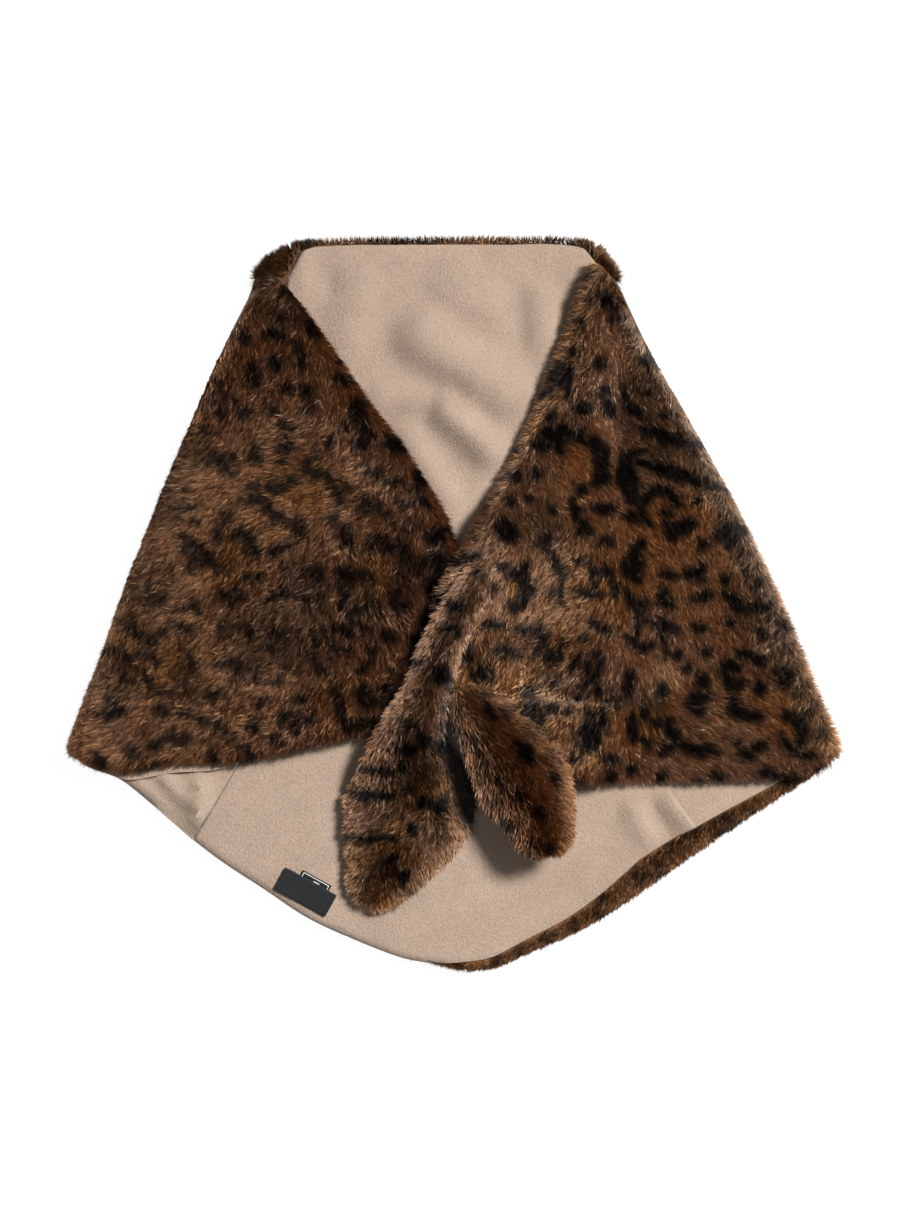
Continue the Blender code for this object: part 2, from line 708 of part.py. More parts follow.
def build():
    clear_scene()
    fur = material("brown_fur", (0.110, 0.058, 0.034), 0.85)
    beige = material("beige_lining", (0.56, 0.44, 0.35), 0.90)
    black = material("black_weave", (0.020, 0.021, 0.024), 0.60)

    left = SidePanel(
        LEFT_STATIONS, LEFT_FRONT_TOP, LEFT_BACK_TOP, LEFT_FRONT_HEM, LEFT_BACK_HEM,
        BORDERS[0], LEFT_KNOT_RISE, LEFT_RIDGES,
    )
    right = SidePanel(
        RIGHT_STATIONS, RIGHT_FRONT_TOP, RIGHT_BACK_TOP, RIGHT_FRONT_HEM, RIGHT_BACK_HEM,
        BORDERS[-1], RIGHT_KNOT_RISE, RIGHT_RIDGES,
    )
    plan = back_patch()

    fur_back(plan, fur)
    fur_side("fur_left", left, fur)
    fur_side("fur_right", right, fur)
    lining_back(plan, beige)
    lining_side("lining_left", left, LEFT_LINING_COLUMNS, beige)
    lining_side("lining_right", right, RIGHT_LINING_COLUMNS, beige)
    tie_stretch("tail_left", LEFT_TAIL, LEFT_TAIL_POCKET, fur)
    tie_stretch("tail_right", RIGHT_TAIL, None, fur)

    tab_base = LINING_TOP + GAP
    label_base = tab_base + TAB_THICK + GAP
    tab_y = LABEL_WIDTH / 2 + TAB_PEEK - TAB_WIDTH / 2
    woven_piece("label", LABEL_LENGTH, LABEL_WIDTH, LABEL_THICK, label_base, 0.0, 0.0, black)
    woven_piece("size_tab", TAB_LENGTH, TAB_WIDTH, TAB_THICK, tab_base, TAB_SHIFT, tab_y, black)
    centre_on_origin()


build()
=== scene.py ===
"""Looks of a lined faux fur kerchief that lies flat, its fronts folded over the back and knotted once.

Metres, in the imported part's frame. The tables and plan functions at the top are the part's own, so
that every cloth here lies on its solid; the meshes are only finer. The pile is real strands that are
rooted on the fur's backing and end at the solids' outer surface.
"""

from collections import namedtuple
import math

import bpy
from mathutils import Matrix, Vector
import numpy as np


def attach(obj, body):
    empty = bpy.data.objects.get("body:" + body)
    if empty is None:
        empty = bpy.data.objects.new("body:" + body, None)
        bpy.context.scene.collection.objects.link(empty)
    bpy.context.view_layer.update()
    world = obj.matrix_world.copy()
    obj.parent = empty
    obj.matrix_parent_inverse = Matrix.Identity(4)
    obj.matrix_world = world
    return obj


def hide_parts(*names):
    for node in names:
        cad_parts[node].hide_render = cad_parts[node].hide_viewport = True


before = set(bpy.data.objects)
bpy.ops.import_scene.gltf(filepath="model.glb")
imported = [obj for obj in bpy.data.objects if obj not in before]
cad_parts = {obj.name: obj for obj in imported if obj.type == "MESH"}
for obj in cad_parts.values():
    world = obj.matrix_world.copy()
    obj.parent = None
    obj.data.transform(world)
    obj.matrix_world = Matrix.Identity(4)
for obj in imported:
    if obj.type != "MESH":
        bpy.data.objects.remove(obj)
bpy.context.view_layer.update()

# The part's own sizes
FUR = 0.009
LINING = 0.0012
GAP = 0.0003
BACK_TOP = FUR
LINING_TOP = BACK_TOP + GAP + LINING
FRONT_BASE = 0.0125
FOLD_RADIUS = 0.00275
FOLD_REACH = 0.045
FOLD_CENTRE = BACK_TOP + FOLD_RADIUS
KNOT_SPREAD = 0.036
LEAST_BORDER = 0.005
SHIFT = np.array((-0.00023, -0.00011, 0.0))

# This file's own sizes
CLOTH = 0.0010
FLOOR_GAP = 0.0002
EDGE_ROLL = 0.012
EDGE_INSET = 0.0045
TRIM_FADE = 0.025
TOP_FADE = 0.03
EDGE_LEAN = 0.011
EDGE_ROUND = 0.008
TOP_OVERLAP = 0.0085
NEAR_FOLD = 0.004
FAR_FROM_FOLD = 0.016
PAST_FOLD = 0.020
ROWS = 80
BACK_COLUMNS = 12
FOLD_COLUMNS = 7
FRONT_COLUMNS = 40
FOLD_TURN = 75.0
HIDDEN_BORDER = 0.0040
BORDER_FADE = 0.005
CORNER_SHARE = 0.82
HEM_SHOWN = 0.76
HAIRLINE = 0.0002
LEAST_CLOTH = 0.0003
STRIP_SHORT = 0.0004
STRIP_REACH = 0.0042
STRIP_RISE = 0.0022
STRIP_TURN = 0.004
TAB_BASE = LINING_TOP + GAP

# The tie ends
TIE_INSET = 0.0072
TIE_ROUND = 0.014
TIE_LEAST_HALF = 0.0015
TIE_RISE = 0.0016
TIE_OVER_LINING = 0.0022
TIE_SHARE_ABOVE = 0.6
TIE_SPREAD = 0.35
TIE_TOP_CUT = 0.0012
TIE_LOW_CUT = 0.0014
TIE_PILE = (0.0018, 0.0100)

# The weave of the label and its tab
BEAD_RISE = 0.00006
BEAD_INSET = 0.0013
BEAD_HALF = 0.0004
RIPPLE_RISE = 0.00008
RIPPLE_LENGTH = 0.006
RIPPLE_WIDTH = 0.004

# The floor, the camera and the light
FLOOR_HALF = 4
CAMERA_PLACE = (0.0007 + SHIFT[0], 0.00035 + SHIFT[1], 2.0165)
KEY_PLACE = (1.24, 0.70, 1.70)

# The pile
PILE = 0.0085
UNDERCOAT = 0.0036
UNDER_PILE = 0.0062
LEAST_PILE = 0.0032
TIP_ROLL = 0.010
BACK_FACE_BORDER = 0.0048
RIM_DEPTH = 0.0006
RIM_DROP = 0.0028
NARROW_RIM = 0.0042
WIDE_RIM = 0.012
RIM_FADE = 0.004
STRAND_WIDTH = 0.00029
STRAND_REACH = 0.0072
TIE_REACH = 0.0060
CLUMP = 0.0038
SWIRL_SIZE = 0.038
TIP_SPREAD = 0.0005
RIM_DENSITY = 5.0
SIDE_COUNT = 80000
BACK_COUNT = 22000
DENSITY = 1.0

# The ways that it is brushed: the stretch beside the knot, and the right fold as a straight line
KNOT_LEFT = -0.13
KNOT_RIGHT = 0.16
KNOT_STRETCH = 0.10
FOLD_X = 0.1407
FOLD_Y = 0.179
FOLD_SLOPE = 0.4625
FOLD_STRETCH = 0.035
COMB_SIZE = 0.09
UNDER_COMB_SIZE = 0.07

# The print's marks, in mm
MARK_WAVE = 1.8
MARK_GRAIN = 9
MARK_MARGIN = 12
MARK_HALF = 0.58
MARK_FADE = 6.6
HIDDEN_LOW = (-480, -290)
HIDDEN_HIGH = (480, 280)
HIDDEN_PITCH = 21
LEFT_FOLD_LINE = (-130, 221, -256, -99)
RIGHT_FOLD_LINE = (255, -97, 106, 223)

Station = namedtuple("Station", "along fold_x fold_y front_x front_y seam_x seam_y")
Edge = namedtuple("Edge", "x y")
Border = namedtuple("Border", "share face_edge hem")
Ridge = namedtuple("Ridge", "x0 y0 x1 y1 half_width height")
Stretch = namedtuple("Stretch", "x y half_width base depth")
Mark = namedtuple("Mark", "x y length width turn bend", defaults=(0,))
Glow = namedtuple("Glow", "x y radius")
Field = namedtuple("Field", "points normals spots lean comb height density")
Rim = namedtuple("Rim", "place inset pile along_share inner_lean")
Press = namedtuple("Press", "depth reach")
Wave = namedtuple("Wave", "rise size")


def table(kind, rows):
    """Rows with named columns, written in mm and degrees.

    Marks and glows stay so. The rest is kept in metres, but for a share in the first column.
    """
    if kind in (Mark, Glow):
        return [kind(*row) for row in rows]
    first = 1 if kind in (Station, Border) else 0
    return [kind(*row[:first], *(value / 1000 for value in row[first:])) for row in rows]


KNOT_LINE = Ridge(0.004, 0.030, -0.005, -0.016, KNOT_SPREAD, 0.0)

# The rolled edges: the end of the columns that they are at, how far in the first roots stand, the
# pile's height, how far it is brushed along the edge, and how far it leans out at the lining
SIDE_FACE_RIM = Rim(place=0.0, inset=0.0034, pile=0.0056, along_share=0.9, inner_lean=-0.1)
FACE_RIM = Rim(place=0.0, inset=0.0018, pile=0.0042, along_share=0.3, inner_lean=0.25)
HEM_RIM = Rim(place=1.0, inset=0.0052, pile=0.0042, along_share=0.9, inner_lean=0.25)

# How far a cloth is pressed down at its edges
BACK_PRESS = Press(0.0015, EDGE_ROLL)
HEM_PRESS = Press(0.0007, 0.0022)
SEAM_PRESS = Press(0.0009, 0.0016)
NARROW_PRESS = Press(0.0022, 0.0060)
WOVEN_PRESS = Press(0.0002, 0.0007)

PILE_WAVES = (Wave(0.0020, 0.034), Wave(0.0012, 0.015))
LINING_WAVES = (Wave(0.00040, 0.05), Wave(0.00016, 0.016))
LINING_WAVE_RANGE = (-0.0004, 0.0007)

# Painted shade: where the right fold, whose side faces away from the light, is painted dimmer; from its
# line and in mm
FOLD_PAINTED_SHADE = Glow(-7.2, -3.6, 8)

LEFT_STATIONS = table(Station, (
    (0, -142, 221, -113, 225, -113, 253), (0.15, -164, 179, -90, 193, -118, 193),
    (0.32, -186, 125, -57, 146, -107, 125), (0.48, -206, 74, -26, 104, -104, 60),
    (0.64, -226, 22, 5, 45, -108, 4), (0.8, -244, -31, -9, -10, -125, -59),
    (0.92, -258, -69, -20, -57, -153, -114), (1, -268, -99, -43, -90, -183, -165),
))
LEFT_FRONT_TOP = table(Edge, ((-142, 221), (-128, 227), (-113, 225)))
LEFT_BACK_TOP = table(Edge, ((-142, 221), (-139, 230), (-130, 242), (-113, 253)))
LEFT_FRONT_HEM = table(Edge, (
    (-268, -99), (-262, -109), (-240, -118), (-191, -113), (-146, -111), (-107, -102), (-72, -94),
    (-43, -90),
))
LEFT_BACK_HEM = table(Edge, (
    (-268, -99), (-261, -110), (-234, -122), (-216, -136), (-200, -150), (-183, -165),
))
LEFT_KNOT_RISE = 0.001
LEFT_RIDGES = table(Ridge, (
    (-105, 85, -30, 40, 24, 4.5), (-100, 20, -30, 4, 20, 5), (-125, -40, -40, -30, 18, 3.5),
    (-105, -75, -45, -58, 14, 3),
))
RIGHT_STATIONS = table(Station, (
    (0, 118, 223, 93, 237, 99, 253), (0.15, 138, 183, 75, 190, 103, 193),
    (0.32, 164, 134, 54, 137, 100, 125), (0.48, 188, 87, 34, 95, 102, 60),
    (0.64, 209, 42, 9, 50, 110, -3), (0.8, 232, -10, -15, -3, 130, -66),
    (0.92, 251, -59, -4, -52, 153, -130), (1, 267, -97, 19, -97, 181, -168),
))
RIGHT_FRONT_TOP = table(Edge, ((118, 223), (107, 236), (93, 237)))
RIGHT_BACK_TOP = table(Edge, ((118, 223), (112, 236), (107, 244), (99, 253)))
RIGHT_FRONT_HEM = table(Edge, (
    (267, -97), (266, -109), (260, -116), (236, -122), (201, -124), (145, -125), (85, -124),
    (47, -110), (19, -97),
))
RIGHT_BACK_HEM = table(Edge, (
    (267, -97), (268, -108), (258, -118), (231, -136), (209, -150), (181, -168),
))
RIGHT_KNOT_RISE = 0.0115
RIGHT_RIDGES = table(Ridge, (
    (102, 185, 95, 115, 18, 3.5), (95, 115, 45, 60, 20, 4), (135, -48, 35, -36, 24, 8.5),
    (170, -75, 75, -90, 18, 3),
))
FACE_EDGE = table(Edge, (
    (-113, 253), (-104, 256), (-86, 257.5), (-30, 258.5), (33, 258.5), (85, 257.5), (94, 256),
    (99, 253),
))
BACK_HEM = table(Edge, (
    (-183, -165), (-166, -178), (-134, -199), (-102, -220), (-72, -234), (-26, -251), (5, -258.5),
    (26, -257.5), (54, -246), (89, -230), (131, -204), (159, -184), (181, -168),
))
BORDERS = table(Border, (
    (0, 23, 3), (0.04, 7, 3), (0.12, 3.5, 3), (0.25, 3.5, 3), (0.4, 3.5, 4), (0.5, 3.5, 8),
    (0.6, 3.5, 12), (0.7, 3.5, 14), (0.8, 3.5, 18), (0.88, 3.5, 22), (0.96, 6, 19), (1, 13, 16),
))
# The lining's soft creases
LINING_RIDGES = table(Ridge, (
    (-20, 186, 18, 162, 29, 11.2), (18, 162, 34, 150, 27, 9.8), (-4, 136, 24, 110, 19, 10.5),
    (-50, 146, -12, 142, 16, 4), (-34, 122, -4, 76, 14, 4.4), (60, 214, 62, 190, 18, 4.4),
    (-66, 226, -74, 190, 22, 3.4), (-105, 242, -106, 226, 10, 2), (4, 226, 30, 200, 28, 3.6),
    (126, -144, 135, -160, 13, 4.2), (154, -139, 165, -152, 15, 7),
))
CORNER_RIDGES = table(Ridge, (
    (-203, -121, -188, -136, 8, 5.6), (-178.5, -126, -178.5, -152, 8.5, 8.5),
    (-179, -118, -178.5, -128, 8, 3), (-222, -122, -202, -138, 6, 2.6),
))
LEFT_TAIL = table(Stretch, (
    (34, 46, 7, 29, 4), (22, 24, 14, 31.5, 9), (9, 2, 17, 32.5, 12), (-5, -23, 17, 32.5, 13),
    (-14, -46, 17, 30, 13), (-21, -66, 20, 26.5, 13), (-28, -88, 28, 22, 13),
    (-29, -106, 38, 15.5, 13), (-29, -124, 46, 11.8, 13), (-32, -145, 47, 10.9, 13),
    (-40, -165, 39, 10.9, 13), (-49, -185, 29, 10.9, 13), (-57, -203, 18, 10.9, 12),
    (-63, -215, 8, 10.9, 8),
))
RIGHT_TAIL = table(Stretch, (
    (2, -48, 12, 26.5, 6), (12, -66, 20, 25, 9), (25, -84, 27, 24.5, 11), (38, -103, 33, 26, 13),
    (50, -124, 34, 29.5, 13), (59, -144, 27, 33, 13), (65, -163, 20, 35.5, 12),
    (68, -178, 11, 37, 8),
))
LABEL_X = -0.1035
LABEL_Y = -0.2005
LABEL_TURN = -28.8
LABEL_LENGTH = 0.041
LABEL_WIDTH = 0.0172
LABEL_THICK = 0.0007
LABEL_BEND = 0.0004
TAB_SHIFT = 0.0025
TAB_PEEK = 0.0040
TAB_LENGTH = 0.023
TAB_WIDTH = 0.010
TAB_THICK = 0.0006
LINE_INSET = 0.0016
LINE_START = 0.0012
LINE_END = 0.0040
LINE_RADIUS = 0.00036
STITCH_RADIUS = 0.00042
STITCH_START = (-0.001, 0.0036)
STITCH_END = (0.0035, 0.0034)

# The print, a mark to a row: a stroke of that length and width in mm, turned and bent in degrees
LEFT_MARKS = table(Mark, (
    (-153, 141, 9, 6, -60), (-127, 137, 11, 7, -45), (-67, 136, 19, 13, 62), (-40, 112, 19, 12, 24),
    (-21, 90, 16, 11, -50), (-175, 120, 12, 7, -20), (-155, 104, 12, 6, -65),
    (-120, 99, 10, 6, -30), (-112, 87, 12, 6, -50), (-188, 81, 9, 6, -70), (-161, 64, 9, 7, -30),
    (-181, 58, 8, 5, 0), (-132, 71, 24, 9, -50), (-180, 35, 32, 12, -28), (-142, 43, 26, 10, -58),
    (-106, 49, 9, 6, -20), (-85, 80, 32, 7, -58), (-71, 38, 10, 6, -20), (-116, 8, 20, 6, -30, 25),
    (-31, 32, 33, 8, -52), (-182, -1, 15, 6, -50), (-203, -18, 10, 6, 0), (-165, -22, 11, 5, -10),
    (-213, 8, 14, 6, -70), (-202, -61, 28, 6, -5, -20), (-242, -65, 12, 6, -60),
    (-236, -33, 15, 6, 30), (-155, -92, 10, 7, 0), (-227, -103, 15, 7, -45),
    (-176, -80, 18, 6, -30), (-82, -65, 21, 6, -70, 20), (-47, -68, 40, 6, 0, 150),
    (-87, -26, 26, 4, -60, 60), (-76, 2, 24, 4, -60, 40), (-57, 4, 26, 3, -60, 40),
    (-111, -84, 18, 6, -80), (-93, -45, 14, 6, -30), (-142, -44, 20, 5, -20),
    (-134, -68, 14, 6, 60), (-60, -42, 18, 5, 40), (-146, 187, 14, 8, -70), (-120, 200, 12, 8, 10),
    (-108, 178, 16, 7, -50), (-140, 166, 11, 7, 0), (-60, 92, 22, 5, -45, 10),
    (-50, 62, 24, 5, -48, 10), (-152, 10, 12, 5, -40), (-127, -20, 16, 6, -35),
    (-72, -85, 15, 6, -75),
))
RIGHT_MARKS = table(Mark, (
    (76, 160, 24, 17, 10), (74, 119, 29, 11, -5, -20), (77, 110, 16, 11, -80),
    (103, 101, 40, 9, -88, -70), (122, 88, 40, 13, -80, 25), (138, 77, 56, 7, 35, -220),
    (134, 73, 4, 5, 0), (159, 54, 28, 9, 30, -50), (136, 172, 24, 12, -62), (153, 152, 18, 6, -25),
    (155, 115, 56, 8, -20, 10), (160, 90, 70, 8, -20, -8), (193, 49, 25, 17, -10),
    (169, 23, 21, 7, 30), (39, 51, 18, 12, 0), (64, 44, 14, 8, 45), (55, 72, 9, 6, 0),
    (85, 63, 30, 6, -60, 100), (50, 11, 52, 10, -85, -220), (97, 20, 28, 4, -82, -25),
    (111, 15, 28, 4, -80, -25), (75, 12, 28, 4, -85, -15), (128, 32, 24, 9, -80),
    (127, -3, 42, 5, -70, -70), (146, -20, 42, 4, -60, -100), (174, -17, 11, 6, 0),
    (216, -2, 17, 9, -20), (229, -17, 17, 7, -30), (231, -47, 18, 10, -40),
    (243, -85, 30, 8, -70, -90), (93, -93, 25, 19, 70), (125, -87, 21, 8, -80, 20),
    (143, -83, 11, 7, 0), (149, -101, 12, 9, 0), (55, -77, 34, 13, -80), (123, -53, 15, 7, -70),
    (164, -44, 11, 6, 0), (204, -35, 18, 7, -20), (195, 4, 21, 6, -40), (61, -29, 21, 5, 60),
    (72, -35, 21, 5, 60), (84, -42, 18, 5, 62), (97, -50, 28, 6, 50, 30), (173, -66, 21, 8, 0, 60),
    (197, -69, 18, 7, -60), (131, 193, 17, 7, -60), (103, 214, 14, 7, -60),
    (120, 144, 21, 6, -80, 60), (213, 15, 12, 6, -60), (180, -100, 16, 7, -20),
    (215, -98, 14, 7, 20), (110, -70, 14, 6, -30), (30, 26, 12, 7, 30), (78, -75, 14, 6, -60),
))
KNOT_MARKS = table(Mark, (
    (0, 0, 16, 8, -10), (-1, -18, 17, 7, -20), (-7, -49, 17, 9, -30), (-25, -40, 13, 6, 0),
    (-52, -115, 28, 6, -4), (-56, -133, 34, 7, -8, 10), (-58, -163, 42, 5, -5, 10),
    (-29, -157, 14, 7, 60), (-34, -190, 15, 9, 60), (-30, -85, 12, 6, 10), (-45, -178, 14, 5, 20),
    (-14, -140, 30, 6, 15, 60), (16, 22, 10, 6, -20),
))
TAIL_MARKS = table(Mark, (
    (55, -71, 22, 10, -80), (1, -85, 22, 6, -62), (17, -100, 28, 4, -62), (50, -102, 22, 8, -50),
    (38, -152, 17, 6, -45), (30, -122, 18, 5, -35), (60, -144, 12, 5, -60), (72, -120, 13, 6, -80),
    (26, -75, 18, 5, -60, 20), (46, -132, 10, 5, 0), (66, -168, 9, 5, -30),
))
# Where the ground between the marks is more orange
RIGHT_GLOWS = table(Glow, (
    (42, 11, 13), (92, 97, 14), (136, 64, 14), (112, 10, 22), (232, -82, 16), (36, -62, 14),
    (166, 60, 20), (130, -92, 16), (80, -38, 18),
))
LEFT_GLOWS = table(Glow, (
    (-98, 186, 16), (-74, 146, 9), (-158, 30, 24), (-198, -52, 18), (-50, -60, 18), (-105, 70, 22),
    (-60, 20, 16), (-80, -70, 18),
))
# Where it is frosted and pinkish: partly the fur's own frosted tips and partly a painted highlight where
# ridges catch the light
LEFT_FROSTS = table(Glow, (
    (-99, 134, 12), (-85, 121, 13), (-70, 107, 13), (-59, 94, 13), (-47, 80, 13), (-34, 67, 12),
    (-23, 54, 10), (-12, 38, 8), (-72, 18, 14), (-52, -11, 14), (-153, -48, 12), (-240, -73, 16),
    (-107, -94, 24), (-62, -86, 14),
))
RIGHT_FROSTS = table(Glow, (
    (108, 190, 10), (104, 165, 11), (106, 140, 10), (61, 99, 12), (34, 72, 14), (24, 44, 12),
    (12, 18, 12), (138, -14, 14), (166, -31, 14), (120, -46, 14), (173, -69, 12), (138, -120, 26),
    (215, -113, 28),
))
# Painted shade: where the pile is painted dimmer, on the far sides of swells and folds
LEFT_DIMS = table(Glow, (
    (-118, 218, 13), (-128, -24, 34), (-105, 6, 20), (-116, 212, 24), (-130, 226, 16),
    (-34, 12, 14), (-30, 52, 9), (-212, 10, 24), (-200, 70, 20), (-186, 110, 18), (-168, 150, 16),
    (-230, -50, 18), (-190, -60, 18),
))
RIGHT_DIMS = table(Glow, (
    (133, 193, 14), (148, 166, 14), (162, 138, 15), (178, 104, 16), (196, 62, 16), (216, 14, 16),
    (238, -36, 16), (252, -78, 14), (98, 228, 11), (112, 216, 10), (128, 150, 16), (134, 128, 20),
    (144, 108, 18), (61, 53, 18), (54, -66, 15), (68, -55, 15), (88, -58, 14), (229, -31, 26),
    (208, -3, 18), (110, 222, 14), (112, -66, 12), (140, -68, 12),
))
LEFT_TIE_GLOWS = table(Glow, ((-18, -130, 16), (-44, -168, 18), (-60, -96, 8), (-40, -208, 16)))
LEFT_TIE_FROSTS = table(Glow, (
    (10, 10, 18), (-2, -8, 14), (-12, -32, 12), (-40, -90, 14), (-56, -148, 10),
))
RIGHT_TIE_GLOWS = table(Glow, (
    (42, -85, 12), (66, -110, 16), (64, -160, 14), (40, -110, 14), (50, -135, 14),
))
RIGHT_TIE_FROSTS = table(Glow, ((6, -100, 5), (22, -134, 5), (40, -160, 5)))
FACE_DIMS = table(Glow, ((-32, 253, 25), (75, 253, 20), (-100, 252, 8)))
# Painted shade along the right tie's edges
RIGHT_TIE_DIMS = table(Glow, (
    (2, -74, 8), (9, -96, 8), (17, -118, 9), (29, -138, 9), (41, -154, 9), (54, -170, 9),
    (24, -60, 9), (41, -72, 9), (57, -87, 9), (71, -106, 9),
))
# Painted shade: where the pile is painted darkest, deep in a fold, in the knot's hollow and under the right
# tie
LEFT_SHADES = table(Glow, (
    (-12, 46, 8), (-12, 30, 10), (-13, 12, 10), (-17, -8, 9), (-24, -26, 8),
))
LEFT_TIE_SHADES = table(Glow, (
    (-1, -56, 7), (-1, -70, 8), (-4, -84, 8), (12, -150, 9), (-35, -114, 5), (-31, -101, 7),
    (-20, -95, 8), (-6, -99, 11), (4, -112, 14), (10, -126, 14), (10, -140, 11), (-8, -142, 8),
    (-20, -138, 6), (-31, -129, 5),
))
# Painted shade on the left tie's lobe and leaf
LEFT_TIE_DIMS = table(Glow, ((-19, -116, 15), (-14, -160, 12), (-30, -200, 12), (-44, -184, 10)))
# Where the pile parts and lies low: the fronts' creases
LEFT_TROUGHS = table(Ridge, (
    (-20, 50, -12, -22, 12, 5), (-42, 74, -20, 44, 8, 3), (-108, 20, -75, -30, 10, 2.2),
    (-82, -12, -40, -30, 9, 2.8), (-180, -40, -110, -52, 12, 2.2), (-118, -50, -100, -85, 9, 2),
    (-150, 100, -110, 150, 12, 1.8),
))
RIGHT_TROUGHS = table(Ridge, (
    (86, -60, 120, -63, 10, 4), (120, -63, 172, -58, 12, 3.2), (76, 120, 95, 70, 10, 2.2),
    (60, 35, 100, 28, 10, 2), (123, 205, 126, 130, 10, 3.5),
))
LEFT_SWELLS = table(Ridge, (
    (-98, 130, -62, 84, 20, 6), (-62, 84, -30, 56, 18, 5.5), (-74, 26, -50, -10, 26, 6),
    (-160, -46, -130, -60, 26, 4), (-230, -80, -80, -92, 20, 3.5),
))
RIGHT_SWELLS = table(Ridge, (
    (36, 54, 28, 18, 25, 12), (28, 18, 12, -30, 24, 10.5), (12, -30, 8, -44, 18, 9.5),
    (22, -48, 48, -70, 24, 9.5), (48, -70, 68, -90, 30, 11.5), (68, -90, 80, -118, 34, 12.5),
    (100, 214, 96, 160, 24, 7), (96, 160, 80, 112, 26, 7), (80, 112, 50, 78, 24, 6),
    (100, 10, 150, -16, 26, 4.5), (165, -85, 185, -70, 20, 3),
))
LEFT_TIE_TROUGHS = table(Ridge, ((-8, -96, -9, -124, 27, 11), (-9, -124, 6, -132, 22, 11)))
LEFT_TIE_SWELLS = table(Ridge, (
    (-30, -80, -52, -106, 18, 6), (-52, -106, -58, -150, 20, 6), (-20, -112, -20, -120, 15, 5),
    (-30, -162, -2, -160, 18, 3),
))
LINING_TROUGHS = table(Ridge, (
    (-37, 173, 4, 150, 9, 0.9), (-9, 126, 14, 108, 8, 0.9), (-88, 234, -88, 222, 10, 0.9),
    (36, 206, 49, 187, 8, 0.8), (138, -142, 150, -158, 8, 0.9),
))


# Shapes shared with the part


def unit(ways, least=0.0):
    """The same ways, each a unit long; those shorter than the least stay shorter."""
    return ways / np.maximum(np.linalg.norm(ways, axis=-1, keepdims=True), least)


def step_lengths(points):
    return np.linalg.norm(np.diff(points, axis=0), axis=1)


def lengths_along(points):
    """How far each point is from the first, along the line."""
    return np.concatenate(([0.0], np.cumsum(step_lengths(points))))


def smooth_curve(points, shares=None):
    """A function of 0..1 that runs smoothly through the points, at the given shares or by length."""
    points = np.array(points, float)
    if shares is None:
        shares = lengths_along(points) / step_lengths(points).sum()
    shares = np.array(shares, float)
    slopes = np.gradient(points, shares, axis=0)

    def at(share):
        share = np.clip(np.asarray(share, float), 0.0, 1.0)
        index = np.clip(np.searchsorted(shares, share, side="right") - 1, 0, len(shares) - 2)
        span = shares[index + 1] - shares[index]
        part = ((share - shares[index]) / span)[..., None]
        start_weight = 2 * part**3 - 3 * part**2 + 1
        end_weight = 3 * part**2 - 2 * part**3
        start_slope = part**3 - 2 * part**2 + part
        end_slope = part**3 - part**2
        value = start_weight * points[index] + end_weight * points[index + 1]
        return value + span[..., None] * (start_slope * slopes[index] + end_slope * slopes[index + 1])

    return at


def patch(low_side, high_side, start, end):
    """A plan patch between four edge curves: across goes from the low side to the high one."""

    def at(across, along):
        across = np.asarray(across, float)
        along = np.asarray(along, float)
        a = across[..., None]
        b = along[..., None]
        sides = (1 - a) * low_side(along) + a * high_side(along)
        ends = (1 - b) * start(across) + b * end(across)
        none = np.zeros_like(across)
        whole = np.ones_like(across)
        corners = (1 - a) * (1 - b) * start(none) + a * (1 - b) * start(whole)
        corners += (1 - a) * b * end(none) + a * b * end(whole)
        return sides + ends - corners

    return at


def smooth_step(value):
    value = np.clip(value, 0.0, 1.0)
    return value * value * (3.0 - 2.0 * value)


def rounding(distance, reach):
    """0 at a free edge to 1 at the reach from it, along a quarter of an ellipse."""
    inside = 1.0 - np.clip(distance / reach, 0.0, 1.0)
    return np.sqrt(np.clip(1.0 - inside * inside, 0.0, 1.0))


def pressed(distance, press):
    """How much lower a cloth lies near its edge than away from it."""
    return press.depth * (1 - rounding(distance, press.reach))


def line_distance(x, y, ridge):
    run_x = ridge.x1 - ridge.x0
    run_y = ridge.y1 - ridge.y0
    part = ((x - ridge.x0) * run_x + (y - ridge.y0) * run_y) / (run_x**2 + run_y**2)
    part = np.clip(part, 0.0, 1.0)
    return np.hypot(x - ridge.x0 - part * run_x, y - ridge.y0 - part * run_y)


def ridge_height(x, y, ridges):
    total = np.zeros_like(x)
    for ridge in ridges:
        away = line_distance(x, y, ridge)
        hump = np.clip(1.0 - (away / ridge.half_width) ** 2, 0.0, 1.0) ** 2
        total = np.maximum(total, ridge.height * hump)
    return total


def station_curve(stations, first, second):
    shares = [row.along for row in stations]
    return smooth_curve([(getattr(row, first), getattr(row, second)) for row in stations], shares)


def plan_widths(plan, along):
    return np.linalg.norm(plan(np.ones_like(along), along) - plan(np.zeros_like(along), along), axis=-1)


def place_on(plan, from_fold, along):
    """A plan's points at that distance from its low side."""
    return plan(from_fold / plan_widths(plan, along), along)


